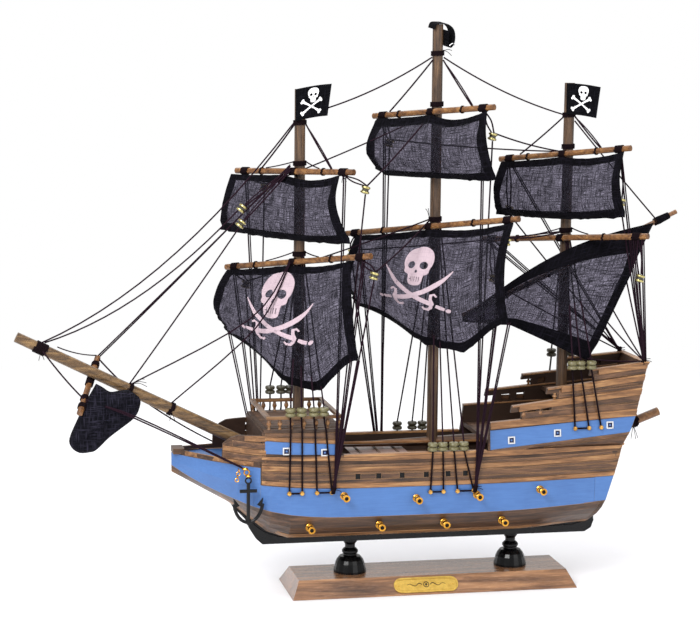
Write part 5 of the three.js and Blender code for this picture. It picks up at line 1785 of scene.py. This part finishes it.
def build_stays(yards, bag_y):
    """Lines between the mastheads, to the bowsprit, the sprit yard, the lateen and the stern."""
    fore_head, main_head, mizzen_head = mast_at("fore", 347.5), mast_at("main", 398), mast_at("mizzen", 353.5)
    aft, ahead = Vector((4.4, -1, 0)), Vector((-4.4, -1, 0))
    line("masthead_stay", (fore_head + Vector((4.4, -1, 6)), "hull"),
         (main_head + ahead - Vector((0, 0, 3)), "hull"), 4.5)
    line("masthead_stay", (main_head + aft - Vector((0, 0, 3)), "hull"), (mizzen_head + ahead, "hull"), 4.0)
    for head, name, spots in ((fore_head, "fore_topsail", (-30, 35)),
                              (main_head - Vector((0, 0, 4)), "main_topsail", (-38, 36)),
                              (mizzen_head, "mizzen_topsail", (-38, 32))):
        for w in spots:
            end = yards[name].point(w, 0, 2.4)
            line(f"{name}_lift", (head + Vector((math.copysign(4, w), -1.5, -1)), "hull"), (end, name), 0.6)
        line(f"{name}_lift", (head + Vector((4.2, -2.2, -2)), "hull"),
             (yards[name].point(spots[1] + 1.5, 0.8, 2.4), name), -1.2, THIN_ROPE)
    for name, mast in (("fore_topsail", "fore"), ("fore_course", "fore"), ("crossjack", "mizzen")):
        z = yards[name].point(0).z
        for w in (-26, 24):
            line(f"{name}_sling", (mast_at(mast, z + 7) + Vector((math.copysign(4.2, w), -1.5, 0)), "hull"),
                 (yards[name].point(w, 0, 2.4), name), 0.4, THIN_ROPE)
    # Forestays: the pair to the bowsprit's end hangs slack, the others are drawn tight.
    tip, _, r = bowsprit_at(0.102)
    cross_top = yards["fore_topsail"].point(0, 3.2, 1.0)
    cross_low = yards["fore_course"].point(0, 3.2, 1.0)
    line("forestay", (tip + Vector((0, -1, r)), "hull"), (fore_head + ahead, "hull"), 20)
    block_a = Vector((-143.6, -8.0, 286.0))
    block_b = Vector((-144.3, -8.0, 275.0))
    line("forestay", (tip + Vector((3, 1, r)), "hull"), (block_a + Vector((-3, 0, -1.5)), "hull"), 13)
    toward_mast = (cross_top - block_a).normalized()
    for name, point in (("forestay_block_upper", block_a), ("forestay_block_lower", block_b)):
        block_at(name, point, Vector((0.55, 0, 0.75)), "hull")
        line("forestay_tail", (point + toward_mast * 3, "hull"), (cross_top, "hull"), 0.5)
        line("forestay_tail", (point + toward_mast * 3 + Vector((0, 0, 1.2)), "hull"),
             (cross_top + Vector((0, 0, 1.5)), "hull"), -1.0, THIN_ROPE)
    low, high = SPRIT_ENDS
    line("sprit_lift", (cross_top + Vector((0, 0, 3)), "hull"), (high + Vector((0, 0, 1)), "spritsail"), 0.6)
    line("sprit_lift", (cross_top + Vector((0, 1, 4)), "hull"),
         (high + Vector((1.2, 0, 0.4)), "spritsail"), 1.2)
    second, _, r2 = bowsprit_at(0.478)
    third, _, r3 = bowsprit_at(0.658)
    line("forestay", (second + Vector((0, -1, r2)), "hull"), (block_b + Vector((-1.5, 0, -3.2)), "hull"), 0.8)
    belly = Vector((-32, -16, -40))
    line("forestay", (second + Vector((1, -2, r2)), "hull"), (cross_low, "hull"), 0, via=(cross_low + belly,))
    line("forestay", (third + Vector((0, -1, r3)), "hull"), (cross_low + Vector((0, -1, -1)), "hull"), 0,
         via=(cross_low + Vector((-27, -15, -46)),))
    # Lines of the sprit yard and the pair that runs aft to the painted head.
    line("sprit_brace", (second + Vector((-1, -r2, 1)), "hull"),
         (high + Vector((0, -2.3, 0)), "spritsail"), 0.5)
    line("sprit_brace", (tip + Vector((1, -r, -1)), "hull"),
         (low.lerp(high, 0.25) + Vector((0, -2.5, 0)), "spritsail"), 1.5)
    line("sprit_brace", (tip + Vector((12, -1, r - 3)), "hull"),
         (high + Vector((-1, 0, 1.6)), "spritsail"), 1.5, THIN_ROPE)
    head_port = nail_point(-146.5, 101.5, PORT, 1.2)
    start = low.lerp(high, 0.22) + Vector((1, -3, 0))
    for shift in (0.0, 1.6):
        line("bobstay", (head_port + Vector((shift * 1.5, 0, -shift)), "hull"),
             (start + Vector((0, 0, shift)), "spritsail"), 0, via=(Vector((-222, bag_y - 12, 139 - shift)),))
    head_far = nail_point(-146.5, 101.5, STARBOARD, 1.2)
    line("bobstay", (head_far, "hull"), (bowsprit_at(0.55)[0] + Vector((0, 3, -4)), "hull"), 2.0)
    # Mizzen: the lateen's sheet, and a line from the masthead to its peak.
    for x, y, z in ((117, -16, 172), (128, -15.5, 204), (133, -15.5, 214), (146, -15.5, 232)):
        line("lateen_sheet", (Vector((157.5, -27.5, 171)), "hull"), (Vector((x, y, z)), "lateen"), 1.0)
    peak = LATEEN_ENDS[0].lerp(LATEEN_ENDS[1], 0.9)
    line("lateen_lift", (mast_at("mizzen", 349) + Vector((4.2, -1, 0)), "hull"),
         (peak + Vector((0, 0, 2.6)), "lateen"), 0.6)
    spar_knot = Vector((155.5, -3.2, 118.5))
    for point in (Vector((157.5, -27.5, 169.5)), Vector((136, -31, 150)), Vector((157.5, 27.5, 169.5))):
        line("stern_line", (spar_knot + Vector((0, math.copysign(1, point.y), 0)), "hull"),
             (point, "hull"), 0.3, 0.45)
    low_end, high_end = rod_ends("stern_spar")
    stern_dir = (high_end - low_end) if high_end.x > low_end.x else (low_end - high_end)
    knot = Piece()
    binding(knot, Vector((160.5, 0, 120.1)), stern_dir, 3.3, 7.0, thick=0.6)
    binding(knot, Vector((160.8, 0, 120.2)), stern_dir, 4.1, 4.0, thick=0.6)
    tuft(knot, Vector((159, -4, 117)),
         [Vector((0.2, -0.3, -1)), Vector((-0.3, -0.3, -1)), Vector((0.5, -0.2, -1))], 8)
    knot.make("stern_spar_knot", LASHING, "hull")


def build_chain_end():
    """The bit of brass chain left hanging from the ring."""
    low, high = box("anchor_chain")
    chain = Piece()
    top = Vector((low.x - 2.0, (low.y + high.y) / 2, high.z - 1.5))
    for i in range(4):
        axis = Vector((0, 1, 0)) if i % 2 else Vector((1, 0, 0.2))
        chain.ring(top + Vector((-0.5 * i, -0.2, -2.3 * i)), axis, 1.35, 0.42, steps=12)
    chain.make("anchor_chain_end", GOLD, "anchor_chain")


# ---------------------------------------------------------------- studio

FLOOR_RADIUS = 60.0                   # metres; it reaches the horizon
FLOOR_SIDES = 96
CAMERA_AIM = (-1.64, 6.77, -3.49)     # the point looked at, from the middle of the CAD box
CAMERA_AZIMUTH, CAMERA_ELEVATION, CAMERA_ROLL = -11.706, 7.636, -0.533
CAMERA_DISTANCE = 1.5                 # metres
CAMERA_LENS = 104.6


def build_studio():
    """A round pale floor that fades to white, soft light all round, and the camera."""
    centre = (CAD_BOX[0] + CAD_BOX[1]) / 2
    floor = bpy.data.meshes.new("floor")
    rim = [2 * math.pi * i / FLOOR_SIDES for i in range(FLOOR_SIDES)]
    floor.from_pydata([(FLOOR_RADIUS * math.cos(a), FLOOR_RADIUS * math.sin(a), 0) for a in rim], [],
                      [list(range(FLOOR_SIDES))])
    floor.materials.append(floor_material())
    ground = bpy.data.objects.new("studio_floor", floor)
    ground.location = (0, 0, CAD_BOX[0].z - 0.0002)
    bpy.context.scene.collection.objects.link(ground)

    def lamp(name, azimuth, elevation, distance, size, power):
        data = bpy.data.lights.new(name, "AREA")
        data.shape, data.size, data.energy = "SQUARE", size, power
        a, e = math.radians(azimuth), math.radians(elevation)
        back = Vector((math.sin(a) * math.cos(e), -math.cos(a) * math.cos(e), math.sin(e)))
        obj = bpy.data.objects.new(name, data)
        obj.location = centre + back * distance
        obj.rotation_mode = "QUATERNION"
        obj.rotation_quaternion = back.to_track_quat("Z", "Y")
        bpy.context.scene.collection.objects.link(obj)

    lamp("key", -38, 34, 1.6, 0.7, 24)
    lamp("fill", 35, 20, 1.9, 1.2, 8)
    lamp("top", 10, 80, 1.5, 1.2, 12)
    lamp("back", 170, 40, 2.0, 1.4, 12)
    world = bpy.data.worlds.new("studio")
    bpy.context.scene.world = world
    world.use_nodes = True
    nodes, links = world.node_tree.nodes, world.node_tree.links
    background = nodes["Background"]
    background.inputs["Color"].default_value = (1.0, 1.0, 1.0, 1)
    # The backdrop is white to the eye, lights the room softly and is dimmer in reflections.
    path = nodes.new("ShaderNodeLightPath")
    soft = nodes.new("ShaderNodeMix")
    soft.inputs[2].default_value, soft.inputs[3].default_value = 0.62, 0.6
    links.new(path.outputs["Is Glossy Ray"], soft.inputs[0])
    seen = nodes.new("ShaderNodeMix")
    seen.inputs[3].default_value = 1.0
    links.new(path.outputs["Is Camera Ray"], seen.inputs[0])
    links.new(soft.outputs[0], seen.inputs[2])
    links.new(seen.outputs[0], background.inputs["Strength"])
    bpy.context.scene.view_settings.view_transform = "Standard"

    data = bpy.data.cameras.new("camera")
    data.lens, data.sensor_width = CAMERA_LENS, 36.0
    data.clip_start, data.clip_end = 0.05, 20
    camera = bpy.data.objects.new("camera", data)
    azimuth, elevation, roll = (math.radians(a) for a in (CAMERA_AZIMUTH, CAMERA_ELEVATION, CAMERA_ROLL))
    back = Vector((math.sin(azimuth) * math.cos(elevation), -math.cos(azimuth) * math.cos(elevation),
                   math.sin(elevation)))
    level = Vector((math.cos(azimuth), math.sin(azimuth), 0))
    upright = back.cross(level)
    right = level * math.cos(roll) - upright * math.sin(roll)
    up = level * math.sin(roll) + upright * math.cos(roll)
    target = centre + Vector(CAMERA_AIM) * MM
    turn = Matrix((right, up, back)).transposed().to_4x4()
    camera.matrix_world = Matrix.Translation(target + back * CAMERA_DISTANCE) @ turn
    bpy.context.scene.collection.objects.link(camera)
    bpy.context.scene.camera = camera


# ---------------------------------------------------------------- assembly

def main():
    dress_cad_nodes()
    build_nameplate()
    build_keel_moulding()
    for side, label in ((PORT, "port"), (STARBOARD, "starboard")):
        build_strakes(side, label)
        build_rails(side, label)
        build_balusters(side, label)
        build_ports(side, label)
        build_deadeyes(side, label)
        build_nails(side, label)
        build_cannon_trim(side, label)
        build_shrouds(side, label)
    build_transom()
    build_decks()
    yards, sails = {}, {}
    for sail in SQUARE_SAILS:
        yards[sail[0]], sails[sail[0]] = build_square_sail(*sail)
    yards["crossjack"] = Yard("crossjack")
    print_swords("fore_course_print", sails["fore_course"], "fore_course", yards["fore_course"].forward,
                 0.512, 0.505, 27, 18.5, 26.5, -3.5)
    print_swords("main_course_print", sails["main_course"], "main_course", yards["main_course"].forward,
                 0.486, 0.533, 27, 15.5, 22.7, 0)
    build_lateen_sail()
    bag_y = build_spritsail()
    build_flag("fore", 4.0)
    build_flag("mizzen", -3.0)
    build_curled_flag()
    build_bindings(yards)
    for side, label in ((PORT, "port"), (STARBOARD, "starboard")):
        build_braces(side, label, yards, sails)
    build_stays(yards, bag_y)
    build_chain_end()
    build_studio()


main()
